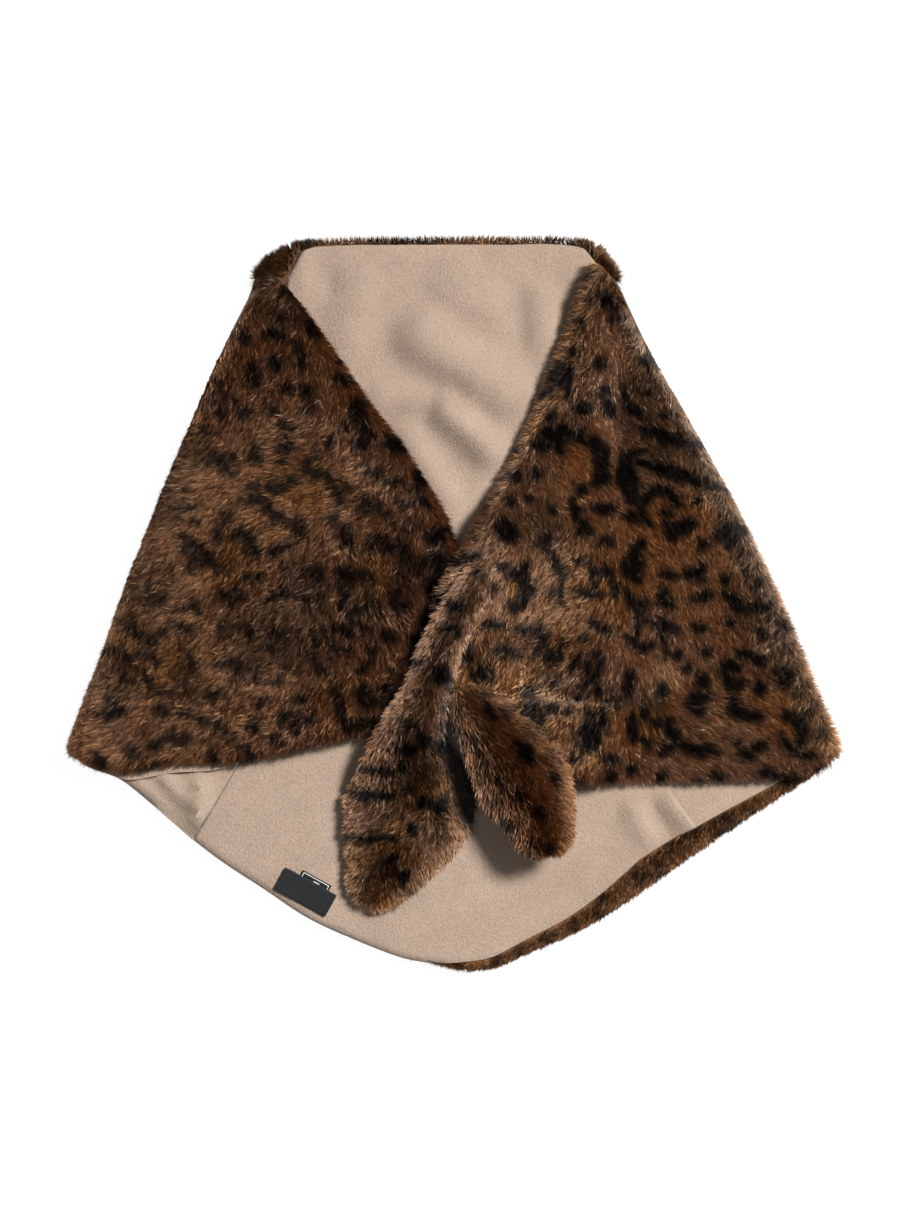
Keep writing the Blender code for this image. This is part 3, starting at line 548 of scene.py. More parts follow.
class SidePanel:
    """One side of the kerchief: its plan patches and the height of its backing."""

    def __init__(self, stations, front_top, back_top, front_hem, back_hem, border, rise, ridges):
        fold = station_curve(stations, "fold_x", "fold_y")
        front = station_curve(stations, "front_x", "front_y")
        seam = station_curve(stations, "seam_x", "seam_y")
        self.front_plan = patch(fold, front, smooth_curve(front_top), smooth_curve(front_hem))
        self.back_plan = patch(fold, seam, smooth_curve(back_top), smooth_curve(back_hem))
        self.face_border = max(border.face_edge, LEAST_BORDER)
        self.hem_border = max(border.hem, LEAST_BORDER)
        self.rise = rise
        self.ridges = ridges

    def borders(self, share):
        """How wide the fur shows round the lining, at the face edge and hem, from fold to seam."""
        face = EDGE_ROUND + (self.face_border - EDGE_ROUND) * share
        return face, EDGE_ROUND + (self.hem_border - EDGE_ROUND) * share

    def front_height(self, points, from_fold):
        x, y = points[..., 0], points[..., 1]
        past_fold = smooth_step(from_fold / FOLD_REACH)
        at_fold = (FOLD_CENTRE + FOLD_RADIUS - FRONT_BASE) * (1.0 - past_fold)
        knot = self.rise * np.exp(-((line_distance(x, y, KNOT_LINE) / KNOT_SPREAD) ** 2))
        return FRONT_BASE + at_fold + knot + ridge_height(x, y, self.ridges) * past_fold

    def column(self, zone, value, along):
        """The backing's points down one column, at a share of the back or front, or a fold angle."""
        start = FUR + FOLD_RADIUS
        if zone == "back":
            from_fold = start + value * (plan_widths(self.back_plan, along) - start - GAP / 2)
            spots = place_on(self.back_plan, from_fold, along)
            height = np.full(len(along), BACK_TOP)
        elif zone == "fold":
            angle = math.radians(value)
            from_fold = np.full(len(along), FUR + FOLD_RADIUS * (1.0 - math.cos(angle)))
            turn = (value + 90.0) / 180.0
            spots = (1.0 - turn) * place_on(self.back_plan, from_fold, along)
            spots += turn * place_on(self.front_plan, from_fold, along)
            height = np.full(len(along), FOLD_CENTRE + FOLD_RADIUS * math.sin(angle))
        else:
            from_fold = start + value * (plan_widths(self.front_plan, along) - start)
            spots = place_on(self.front_plan, from_fold, along)
            height = self.front_height(spots, from_fold - start)
        return np.column_stack((spots, height))

    def normals(self, zone, value, along):
        """Down under the back, up over the front, and outward round the fold between them."""
        if zone != "fold":
            return np.tile((0.0, 0.0, -1.0 if zone == "back" else 1.0), (len(along), 1))
        angle = math.radians(value)
        turn = (value + 90.0) / 180.0
        inward = np.zeros((len(along), 2))
        for plan, share in ((self.back_plan, 1.0 - turn), (self.front_plan, turn)):
            way = place_on(plan, FAR_FROM_FOLD, along) - place_on(plan, NEAR_FOLD, along)
            inward += share * unit(way)
        level = -math.cos(angle) * unit(inward)
        return np.column_stack((level, np.full(len(along), math.sin(angle))))


# Numbers from a seed


def noise(x, y, size, seed):
    """Smooth noise from -1 to 1 whose grains are about that size."""
    x = np.asarray(x, float) / size
    y = np.asarray(y, float) / size
    i = np.floor(x).astype(np.int64)
    j = np.floor(y).astype(np.int64)
    u = x - i
    v = y - j
    u = u * u * u * (u * (6 * u - 15) + 10)
    v = v * v * v * (v * (6 * v - 15) + 10)

    def corner(a, b):
        h = (a * 374761393 + b * 668265263 + seed * 974634777) & 0xFFFFFFFF
        h = ((h ^ (h >> 13)) * 1274126177) & 0xFFFFFFFF
        h = (h ^ (h >> 16)) & 0xFFFFFF
        return h / 0x7FFFFF - 1.0

    low = corner(i, j) * (1 - u) + corner(i + 1, j) * u
    high = corner(i, j + 1) * (1 - u) + corner(i + 1, j + 1) * u
    return low * (1 - v) + high * v


def rough_noise(x, y, size, seed):
    return sum(noise(x, y, size / 2**k, seed + k) / 2**k for k in range(3)) / 1.4


# The print, and the painted shade laid over it


def stroke_distance(x, y, mark):
    """How far points, in mm, are from a mark's bent line, and how far along it they are, 0 to 1."""
    turn = math.radians(mark.turn)
    u = (x - mark.x) * math.cos(turn) + (y - mark.y) * math.sin(turn)
    v = -(x - mark.x) * math.sin(turn) + (y - mark.y) * math.cos(turn)
    half = max(mark.length - mark.width, 0.1) / 2
    if abs(mark.bend) < 5:
        on = np.clip(u, -half, half)
        return np.hypot(u - on, v), on / half
    bend = math.radians(mark.bend)
    radius = 2 * half / bend
    limit = abs(bend) / 2
    on = np.clip(np.arctan2(u, np.sign(bend) * (radius - v)), -limit, limit)
    near_u = abs(radius) * np.sin(on)
    near_v = radius - np.sign(bend) * abs(radius) * np.cos(on)
    return np.hypot(u - near_u, v - near_v), on / limit


def darkness(x, y, marks, seed):
    """How dark the marks are at points in metres, 0 to 1."""
    x = x * 1000
    y = y * 1000
    wavy_x = x + MARK_WAVE * rough_noise(x, y, MARK_GRAIN, seed)
    wavy_y = y + MARK_WAVE * rough_noise(x, y, MARK_GRAIN, seed + 7)
    total = np.zeros_like(x)
    for mark in marks:
        reach = mark.length + MARK_MARGIN
        near = (np.abs(x - mark.x) < reach) & (np.abs(y - mark.y) < reach)
        if near.any():
            away, along = stroke_distance(wavy_x[near], wavy_y[near], mark)
            half = MARK_HALF * mark.width * (1.15 - 0.35 * along**2)
            total[near] = np.maximum(total[near], smooth_step((half - away) / MARK_FADE + 0.5))
    return total


def radii_away(x, y, glow):
    """How far points in metres are from a glow's middle, in its radii."""
    return np.hypot(x * 1000 - glow.x, y * 1000 - glow.y) / glow.radius


def warmth(x, y, glows, frosts, seed):
    """From 0, frosted and pinkish, to 1, orange brown."""
    total = 0.42 + 0.30 * rough_noise(x, y, 0.045, seed)
    for places, amount in ((glows, 0.6), (frosts, -0.7)):
        for place in places:
            total += amount * np.exp(-(radii_away(x, y, place) ** 2))
    return np.clip(total, 0.0, 1.0)


def shading(x, y, dims):
    """How dim the pile is, from pairs of places and their most."""
    total = np.zeros_like(x)
    for places, most in dims:
        for place in places:
            total = np.maximum(total, most * np.exp(-(radii_away(x, y, place) ** 4)))
    return total


def print_of(marks, dims, glows, frosts, strength, seed):
    """A function of places: how dark it is there, from the print's marks and from painted shade, and how
    warm the ground.
    """

    def tint(x, y):
        dark = np.maximum(strength * darkness(x, y, marks, seed), shading(x, y, dims))
        return dark, warmth(x, y, glows, frosts, seed + 5)

    return tint


def scattered_marks(seed, low, high, pitch):
    """Marks in the same manner for the sides that don't show, in a jittered grid."""
    chance = np.random.default_rng(seed)
    made = []
    for x in np.arange(low[0], high[0], pitch):
        for y in np.arange(low[1], high[1], pitch):
            spot_x = x + chance.uniform(-0.35, 0.35) * pitch
            spot_y = y + chance.uniform(-0.35, 0.35) * pitch
            length = chance.uniform(9, 24)
            width = chance.uniform(5, 9)
            bend = chance.choice((0, 0, 20, -120, 150))
            made.append(Mark(spot_x, spot_y, length, width, chance.uniform(-90, 30), bend))
    return made


def beyond(marks, ax, ay, bx, by):
    """The marks that lie past the line from a to b, on its left."""
    return [row for row in marks if (bx - ax) * (row.y - ay) - (by - ay) * (row.x - ax) > 0]


# Meshes


def new_mesh(name, points, faces, finish):
    """A smooth mesh from arrays that rides the root; its faces have three or four corners each."""
    mesh = bpy.data.meshes.new(name)
    points = np.asarray(points, float) + SHIFT
    count, corners = faces.shape
    mesh.vertices.add(len(points))
    mesh.vertices.foreach_set("co", points.astype(np.float32).ravel())
    mesh.loops.add(faces.size)
    mesh.loops.foreach_set("vertex_index", faces.astype(np.int32).ravel())
    mesh.polygons.add(count)
    mesh.polygons.foreach_set("loop_start", corners * np.arange(count, dtype=np.int32))
    mesh.polygons.foreach_set("loop_total", np.full(count, corners, np.int32))
    mesh.update(calc_edges=True)
    mesh.shade_smooth()
    mesh.materials.append(finish)
    made = bpy.data.objects.new(name, mesh)
    bpy.context.scene.collection.objects.link(made)
    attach(made, "root")
    return made


def add_tint(made, dark, warm, chance, rise):
    """Keeps, for each vertex: darkness from the print and painted shade, warmth, the strand's own chance,
    and 0 root to 1 tip.
    """
    layer = made.data.attributes.new("tint", "FLOAT_COLOR", "POINT")
    values = np.stack((dark, warm, chance, rise), axis=1)
    layer.data.foreach_set("color", values.astype(np.float32).ravel())


def grid_faces(rows, columns):
    i, j = np.meshgrid(np.arange(rows - 1), np.arange(columns - 1), indexing="ij")
    a = (i * columns + j).ravel()
    return np.stack((a, a + 1, a + columns + 1, a + columns), axis=1)


def ring_of(rows, columns):
    """The corners round a grid's edge, in order."""
    ring = list(range(columns))
    ring += [i * columns + columns - 1 for i in range(1, rows)]
    ring += [(rows - 1) * columns + j for j in range(columns - 2, -1, -1)]
    ring += [i * columns for i in range(rows - 2, 0, -1)]
    return np.array(ring)


def cloth_shell(node, outer, inner, finish):
    """A closed thin cloth between two grids of the same size, in the place of a node."""
    rows, columns = outer.shape[:2]
    i, j = rows // 2, columns // 2
    turn = np.cross(outer[i, j + 1] - outer[i, j], outer[i + 1, j] - outer[i, j])
    if np.dot(turn, outer[i, j] - inner[i, j]) < 0:
        outer = outer[:, ::-1]
        inner = inner[:, ::-1]
    points = np.concatenate((outer.reshape(-1, 3), inner.reshape(-1, 3)))
    quads = grid_faces(rows, columns)
    shift = rows * columns
    ring = ring_of(rows, columns)
    ahead = np.roll(ring, -1)
    rim = np.stack((ahead, ring, ring + shift, ahead + shift), axis=1)
    faces = np.concatenate((quads, quads[:, ::-1] + shift, rim))
    made = new_mesh(node + "_cloth", points, faces, finish)
    made.data.set_sharp_from_angle(angle=math.radians(60))
    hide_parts(node)
    return made


def fur_cloth(node, outer, inner, tint):
    """The fur's backing, its colour that of the print and painted shade at its roots, and kept dark as
    painted shade deep in the pile.
    """
    made = cloth_shell(node, outer, inner, brown_skin)
    count = len(made.data.vertices)
    points = np.empty(count * 3, np.float32)
    made.data.vertices.foreach_get("co", points)
    points = points.reshape(-1, 3)
    dark, warm = tint(points[:, 0], points[:, 1])
    add_tint(made, dark, warm, np.full(count, 0.35), np.full(count, 0.15))
    return made


def upward_normals(grid):
    normals = unit(np.cross(np.gradient(grid, axis=1), np.gradient(grid, axis=0)), 1e-12)
    return normals * np.where(normals[:, :, 2:] < 0, -1.0, 1.0)


def edge_lengths(grid, axis):
    """How far each point is from the grid's first edge and from its last, along the grid."""
    steps = np.linalg.norm(np.diff(grid, axis=axis), axis=2)
    from_start = np.insert(np.cumsum(steps, axis=axis), 0, 0.0, axis=axis)
    return from_start, np.take(from_start, [-1], axis=axis) - from_start


def edge_ways(grid):
    """For each point, the unit ways to the grid's free edges."""
    down = unit(np.gradient(grid, axis=0))
    return {"top": -down, "hem": down, "front": unit(np.gradient(grid, axis=1))}


def edge_lean(grid, distances):
    """Ways towards the free edges, a unit long there and fading inwards."""
    ways = edge_ways(grid)
    total = np.zeros_like(grid)
    for key, away in distances.items():
        total += ways[key] * (1.0 - smooth_step(away / EDGE_LEAN))[:, :, None]
    return total


def trimmed(grid, distances):
    """The grid drawn in from its free edges, so that the pile's tips end at the outline."""
    ways = edge_ways(grid)
    moved = grid.copy()
    for key, away in distances.items():
        moved -= ways[key] * (EDGE_INSET * np.clip(1 - away / TRIM_FADE, 0, 1))[:, :, None]
    return moved


# The pile


def tufts(x, y, size, seed):
    """For each place, the way to its tuft's middle and the tuft's own turn and rise, -1 to 1."""
    warp_x = x + 0.5 * size * noise(x, y, 1.5 * size, seed + 3)
    warp_y = y + 0.5 * size * noise(x, y, 1.5 * size, seed + 4)
    best = np.full(len(x), np.inf)
    found = np.zeros((len(x), 4))
    for step_x in (-1, 0, 1):
        for step_y in (-1, 0, 1):
            cell_x = np.floor(warp_x / size) + step_x
            cell_y = np.floor(warp_y / size) + step_y
            spot = (cell_x * 1.37 + 0.5, cell_y * 1.61 + 0.5)
            luck = [noise(*spot, 0.731, seed + 11 + k) for k in range(4)]
            way_x = (cell_x + 0.5 + 0.45 * luck[0]) * size - warp_x
            way_y = (cell_y + 0.5 + 0.45 * luck[1]) * size - warp_y
            away = np.hypot(way_x, way_y)
            nearer = away < best
            best[nearer] = away[nearer]
            found[nearer] = np.stack((way_x, way_y, luck[2], luck[3]), axis=1)[nearer]
    return found


def along_skin(ways, normal):
    """Ways without the part that runs along the normal."""
    return ways - (ways * normal).sum(axis=1)[:, None] * normal


def lay_map(made, count):
    """A map with a small cell for each strand, in the order that the strands have."""
    across = int(math.sqrt(count * 3.0)) + 1
    down = int(math.ceil(count / across)) + 1
    index = np.arange(count)
    u = (index % across) / across
    v = (index // across) / down
    width = 0.86 / across
    height = 0.9 / down
    steps = ((0, 0), (1, 0), (0, 0.55), (1, 0), (0.5, 1), (0, 0.55))
    corners = np.stack([np.stack((u + a * width, v + b * height), axis=1) for a, b in steps], axis=1)
    layer = made.data.uv_layers.new(name="OFBake")
    layer.uv.foreach_set("vector", corners.astype(np.float32).ravel())


def grow(name, field, count, seed, tint, finish, width=STRAND_WIDTH, swirl=0.7, reach=STRAND_REACH):
    """Strands rooted over a field: each one a slim bent blade of two triangles.

    The field gives for each grid point its place, its outward normal, its place in the print, the
    way to its free edges, the way it is brushed, the pile's height and how thickly it grows.
    """
    count = int(count * DENSITY)
    chance = np.random.default_rng(seed)
    grid = field.points
    outer = grid + field.normals * field.height[:, :, None]
    a = outer[:-1, :-1]
    area = np.linalg.norm(np.cross(outer[:-1, 1:] - a, outer[1:, :-1] - a), axis=2)
    area = area * field.density[:-1, :-1]
    weight = area.ravel() / area.sum()
    cell = np.sort(chance.choice(len(weight), count, p=weight))
    i, j = np.divmod(cell, area.shape[1])
    u, v = chance.random((2, count, 1))

    def between(values):
        low = values[i, j] * (1 - v) + values[i, j + 1] * v
        high = values[i + 1, j] * (1 - v) + values[i + 1, j + 1] * v
        return low * (1 - u) + high * u

    root = between(grid)
    normal = unit(between(field.normals))
    spot = between(field.spots)
    way = between(field.lean)
    brushed = between(field.comb)
    tall = between(field.height[:, :, None])[:, 0]
    x, y = spot[:, 0], spot[:, 1]
    tuft = tufts(x, y, CLUMP, seed)

    # The way it is brushed, turned by its tuft, calm on steep sides, and out at free edges
    turn = swirl * (0.9 * rough_noise(x, y, SWIRL_SIZE, seed + 21) + 0.75 * tuft[:, 2])
    turn += chance.normal(0, 0.16, count)
    calm = 0.25 + 0.75 * smooth_step((normal[:, 2] - 0.4) / 0.5)
    turn *= calm
    cos, sin = np.cos(turn), np.sin(turn)
    direction = brushed.copy()
    direction[:, 0] = brushed[:, 0] * cos - brushed[:, 1] * sin
    direction[:, 1] = brushed[:, 0] * sin + brushed[:, 1] * cos
    direction = unit(along_skin(direction + 2.2 * way, normal), 1e-6)
    edge = np.clip(np.linalg.norm(way, axis=1), 0, 1)

    # Its height, its length along the skin, and its pull towards the tuft's middle
    high = tall * (0.86 + 0.16 * tuft[:, 3]) * chance.uniform(0.72, 1.0, count)
    stray = chance.random(count) < 0.05
    high = np.where(stray, tall * chance.uniform(1.0, 1.2, count), high)[:, None]
    long = reach * np.clip(1.0 - 0.35 * edge + chance.normal(0, 0.16, count), 0.3, 1.3)
    long = direction * long[:, None]
    pull = (0.55 * (1.0 - 0.6 * edge) * calm)[:, None]
    pull = pull * along_skin(np.stack((tuft[:, 0], tuft[:, 1], np.zeros(count)), axis=1), normal)
    middle = root + normal * (0.66 * high) + 0.34 * long + 0.5 * pull
    tip = root + normal * high + long + pull
    tip += chance.normal(0, TIP_SPREAD, (count, 3))

    side = unit(np.cross(tip - root, normal), 1e-9)
    roll = chance.normal(0, 0.55, count)[:, None]
    side = side * np.cos(roll) + normal * np.sin(roll)
    side *= (width / 2 * np.clip(np.exp(chance.normal(0, 0.32, count)), 0.6, 1.9))[:, None]
    points = np.stack((root - side, root + side, middle - side, tip), axis=1)
    points[:, :, 2] = np.maximum(points[:, :, 2], FLOOR_GAP)
    faces = 4 * np.arange(count)[:, None, None] + np.array(((0, 1, 2), (1, 3, 2)))
    made = new_mesh(name, points.reshape(-1, 3), faces.reshape(-1, 3), finish)

    seen = (normal[:, 2] > 0)[:, None] * 0.75 * (tip - root)[:, :2]
    dark, warm = tint(x + seen[:, 0], y + seen[:, 1])
    dark = np.clip(dark + chance.normal(0, 0.45, count) * dark * (1 - dark) * 2, 0, 1) * 0.96
    warm = np.clip(warm + chance.normal(0, 0.10, count), 0, 1)
    luck = np.clip(0.74 * chance.random(count) + 0.26 * (0.5 + 0.75 * tuft[:, 3]), 0, 1)
    luck *= 1.0 - 0.45 * smooth_step((dark - 0.7) / 0.26)
    rise = np.tile((0.0, 0.0, 0.55, 1.0), count)
    add_tint(made, *(np.repeat(values, 4) for values in (dark, warm, luck)), rise)
    lay_map(made, count)
    return made


# Materials


class Finish:
    """A material and the means to build its nodes."""

    def __init__(self, name):
        self.made = bpy.data.materials.new(name)
        self.made.use_nodes = True
        self.shader = self.made.node_tree.nodes["Principled BSDF"]

    def join(self, socket, value):
        """Gives a socket another node's output, a number, or a colour or vector."""
        if isinstance(value, bpy.types.NodeSocket):
            self.made.node_tree.links.new(value, socket)
        elif isinstance(value, tuple):
            socket.default_value = (*value, 1.0)[: len(socket.default_value)]
        else:
            socket.default_value = value

    def node(self, kind, inputs, output=0, **settings):
        """Adds a node with its settings and inputs, and returns one of its outputs."""
        made = self.made.node_tree.nodes.new("ShaderNode" + kind)
        for key, value in settings.items():
            setattr(made, key, value)
        for key, value in inputs.items():
            self.join(made.inputs[key], value)
        return made.outputs[output]

    def math(self, kind, first, second, clamp=False):
        return self.node("Math", {0: first, 1: second}, operation=kind, use_clamp=clamp)

    def mix(self, share, first, second, kind="MIX"):
        return self.node("Mix", {0: share, 6: first, 7: second}, 2, data_type="RGBA", blend_type=kind)

    def times(self, first, second):
        return self.mix(1.0, first, second, "MULTIPLY")

    def noise(self, scale, detail, roughness, place):
        inputs = {"Vector": place, "Scale": scale, "Detail": detail, "Roughness": roughness}
        return self.node("TexNoise", inputs)

    def place(self):
        return self.node("TexCoord", {}, "Object")

    def ramp(self, factor, *stops):
        output = self.node("ValToRGB", {0: factor})
        elements = output.node.color_ramp.elements
        while len(elements) < len(stops):
            elements.new(0.5)
        for element, (place, colour) in zip(elements, stops):
            element.position = place
            element.color = (*colour, 1.0)
        return output

    def finish(self, colour, roughness, bump=None, bump_strength=0.0, bump_depth=0.0, **others):
        """Sets the shader's colour, roughness, bump and other inputs, and returns the material."""
        self.join(self.shader.inputs["Base Color"], colour)
        self.shader.inputs["Roughness"].default_value = roughness
        for key, value in others.items():
            self.shader.inputs[key.replace("_", " ")].default_value = value
        if bump:
            inputs = {"Strength": bump_strength, "Distance": bump_depth, "Height": bump}
            self.join(self.shader.inputs["Normal"], self.node("Bump", inputs))
        return self.made


def fur_finish(name, shade):
    """Brown pile: darker towards the root as painted shade, frosted at the tip, near black where the print
    is and darker where shade is painted; shade scales each copy's colour as painted light and shade.
    """
    look = Finish(name)
    rise = look.node("Attribute", {}, "Alpha", attribute_name="tint")
    kept = rise.node.outputs["Color"]
    dark = look.node("SeparateColor", {0: kept})
    warm, luck = dark.node.outputs[1], dark.node.outputs[2]
    cool_stops = ((0.0, (0.18, 0.086, 0.042)), (0.5, (0.44, 0.228, 0.114)), (1.0, (0.80, 0.53, 0.34)))
    rust_stops = ((0.0, (0.20, 0.084, 0.024)), (0.5, (0.50, 0.236, 0.074)), (1.0, (0.76, 0.45, 0.19)))
    black_stops = (
        (0.0, (0.014, 0.014, 0.015)),
        (0.8, (0.040, 0.040, 0.045)),
        (1.0, (0.14, 0.135, 0.135)),
    )
    ground = look.mix(warm, look.ramp(luck, *cool_stops), look.ramp(luck, *rust_stops))
    tip_share = look.math("MULTIPLY", look.math("POWER", rise, 2.2), luck)
    frost_share = look.math("SUBTRACT", 0.85, look.math("MULTIPLY", warm, 0.55))
    tip_share = look.math("MULTIPLY", tip_share, frost_share, clamp=True)
    frosted = look.mix(tip_share, ground, (0.82, 0.60, 0.47))
    coloured = look.mix(dark, frosted, look.ramp(luck, *black_stops))
    # Painted shade: darker towards the root, deep in the pile
    depth = look.math("ADD", look.math("MULTIPLY", rise, 0.25), 0.75, clamp=True)
    shaded = look.times(coloured, look.mix(depth, (0.0, 0.0, 0.0), shade))
    return look.finish(shaded, 0.48, Specular_IOR_Level=0.25)


def lining_finish():
    """Brushed beige cloth: mottled nap, fine fibres, a soft sheen, and painted shade that makes it dimmer
    towards the top and right.
    """
    look = Finish("brushed_lining")
    place = look.place()
    broad = look.noise(38.0, 3.0, 0.55, place)
    fine = look.noise(620.0, 4.0, 0.75, place)
    turned = look.node("Mapping", {"Vector": place, "Scale": (1.0, 0.35, 1.0), "Rotation": (0.0, 0.0, 0.5)})
    fibre = look.noise(1500.0, 2.0, 0.6, turned)
    ground = look.ramp(broad, (0.3, (0.465, 0.347, 0.263)), (0.7, (0.525, 0.395, 0.300)))
    to_right = look.node("SeparateXYZ", {0: place})
    to_top = to_right.node.outputs[1]
    # Painted shade: the cloth is darker towards the top and towards the right
    for way, gain, end, dimmest in (
        (to_top, 8.0, 0.9, (0.83, 0.82, 0.82)),
        (to_right, 5.0, 0.6, (0.91, 0.90, 0.89)),
    ):
        share = look.math("MULTIPLY", way, gain, clamp=True)
        ground = look.times(ground, look.ramp(share, (0.1, (1.0, 1.0, 1.0)), (end, dimmest)))
    speck = look.ramp(fine, (0.32, (0.78, 0.76, 0.74)), (0.68, (1.06, 1.06, 1.06)))
    nap = look.math("ADD", fibre, fine)
    sheen = {"Sheen_Weight": 0.25, "Sheen_Roughness": 0.5}
    return look.finish(look.times(ground, speck), 0.92, nap, 0.9, 0.0008, Specular_IOR_Level=0.25, **sheen)


def woven_finish(name, colour, light):
    """Black label tape with a fine weave."""
    look = Finish(name)
    turn = (0.0, 0.0, math.radians(-LABEL_TURN))
    turned = look.node("Mapping", {"Vector": look.place(), "Rotation": turn})
    inputs = {"Vector": turned, "Scale": 420.0, "Distortion": 0.6}
    warp, weft = (look.node("TexWave", inputs, bands_direction=way) for way in ("X", "Y"))
    weave = look.math("MULTIPLY", warp, weft)
    woven = look.ramp(weave, (0.0, colour), (1.0, light))
    return look.finish(woven, 0.6, weave, 0.5, 0.0002, Specular_IOR_Level=0.3)


def thread_finish(name, colour, roughness):
    look = Finish(name)
    grain = look.noise(900.0, 2.0, 0.5, look.place())
    dull = tuple(0.85 * part for part in colour)
    return look.finish(look.ramp(grain, (0.35, dull), (0.65, colour)), roughness)


# The fur's panels


def plan_way(degrees):
    turn = np.radians(degrees)
    return np.stack((np.cos(turn), np.sin(turn), np.zeros_like(turn)), axis=-1)


def comb_left(x, y):
    """Brushed down and outwards, and towards the knot along the V."""
    near_knot = smooth_step((x - KNOT_LEFT) / KNOT_STRETCH)
    return plan_way(-122 + 30 * noise(x, y, COMB_SIZE, 5) + 34 * near_knot)


def comb_right(x, y):
    """Brushed down and outwards, towards the knot along the V, and more evenly near the fold."""
    near_knot = smooth_step((KNOT_RIGHT - x) / KNOT_STRETCH)
    fold_x = FOLD_X + FOLD_SLOPE * (FOLD_Y - y)
    near_fold = smooth_step(1 + (x - fold_x) / FOLD_STRETCH)
    turn = 34 * noise(x, y, COMB_SIZE, 9) * (1 - 0.7 * near_fold)
    return plan_way(-62 + turn - 40 * near_knot - 38 * near_fold)


def comb_down(x, y):
    return plan_way(-90 + 20 * noise(x, y, UNDER_COMB_SIZE, 15))


def side_pieces(name, side, troughs, swells, tint, finish, comb, fold_share, seed):
    """A side's backing, from the back seam round the fold to the front's edge, and its pile."""
    first_fold, first_front = BACK_COLUMNS, BACK_COLUMNS + FOLD_COLUMNS
    zones = [("back", share) for share in np.linspace(1.0, 0.0, BACK_COLUMNS)]
    zones += [("fold", angle) for angle in np.linspace(-FOLD_TURN, FOLD_TURN, FOLD_COLUMNS)]
    zones += [("front", share) for share in np.linspace(0.0, 1.0, FRONT_COLUMNS)]
    along = np.linspace(0.0, 1.0, ROWS)
    grid = np.stack([side.column(zone, value, along) for zone, value in zones], axis=1)
    normals = upward_normals(grid)
    for j, (zone, value) in enumerate(zones[:first_front]):
        normals[:, j] = side.normals(zone, value, along)
    from_top, from_hem = edge_lengths(grid, 0)
    from_front = edge_lengths(grid, 1)[1]
    distances = {"top": from_top, "hem": from_hem, "front": from_front}
    nearest = np.minimum(np.minimum(from_top, from_hem), from_front)
    past_fold = smooth_step((from_front[:, first_front - 1 : first_front] - from_front) / PAST_FOLD)
    past_fold[:, :first_front] = 0.0
    lean = edge_lean(grid, distances) * (0.15 + 0.85 * past_fold[:, :, None])
    lean *= (0.35 + 0.65 * smooth_step(from_top / TOP_FADE))[:, :, None]
    grid = trimmed(grid, distances)
    over_rim = TOP_OVERLAP * past_fold * np.clip(1 - from_top / TOP_FADE, 0, 1)
    grid = grid + edge_ways(grid)["top"] * over_rim[:, :, None]
    x, y = grid[:, :, 0], grid[:, :, 1]
    shape = ridge_height(x, y, swells) - ridge_height(x, y, troughs)
    waves = enumerate(PILE_WAVES)
    shape += sum(wave.rise * noise(x, y, wave.size, seed + 50 + k) for k, wave in waves)
    shape *= past_fold
    thick = np.maximum(CLOTH + (UNDERCOAT + shape) * rounding(nearest, EDGE_ROLL), CLOTH)
    thick[:, :first_fold] = CLOTH
    outer = grid + normals * thick[:, :, None]
    cloth = fur_cloth(name, outer, grid, tint)

    height = PILE * (0.62 + 0.38 * rounding(nearest, TIP_ROLL)) - thick + CLOTH
    height = np.maximum(height + shape, LEAST_PILE)
    density = 1.0 + 0.7 * (1 - smooth_step(nearest / EDGE_ROLL))
    density[:, :first_fold] *= 0.10
    in_fold = slice(first_fold, first_front)
    height[:, in_fold] *= fold_share
    height[:, first_front : first_front + 3] *= 0.5 + 0.5 * fold_share
    density[:, in_fold] *= smooth_step(from_top[:, in_fold] / TIP_ROLL)
    # The back's print is the front's, as it would be if the panel were opened out at the fold
    spots = grid[:, :, :2].copy()
    fold_middle = first_fold + FOLD_COLUMNS // 2
    spots[:, :first_fold] = 2 * grid[:, fold_middle : fold_middle + 1, :2] - spots[:, :first_fold]
    field = Field(outer, normals, spots, lean, comb(x, y), height, density)
    piles = []
    for part in (1, 2):
        piles.append(grow(f"{name}_pile_{part}", field, SIDE_COUNT, seed + 31 * part, tint, finish))

    def back_column(share, at):
        return side.column("back", share, at)[:, :2]

    shares = np.linspace(0.0, 1.0, 60)
    face, hem = side.borders(shares)
    borders = (face, HEM_SHOWN * hem)
    piles += rim_piles(name, back_column, shares, borders, SIDE_FACE_RIM, seed + 3)
    return cloth, piles


def column_length(column):
    return step_lengths(column(np.linspace(0.0, 1.0, 41))).sum()


def rim_lines(column, shares, place, border):
    """The outline at the columns' near or far end, and the line where the lining begins."""
    line, inner = [], []
    for share, wide in zip(shares, border):
        part = wide / column_length(lambda at: column(share, at))
        line.append(column(share, np.array((place,)))[0])
        inner.append(column(share, np.array((abs(place - part),)))[0])
    return np.array(line), np.array(inner)


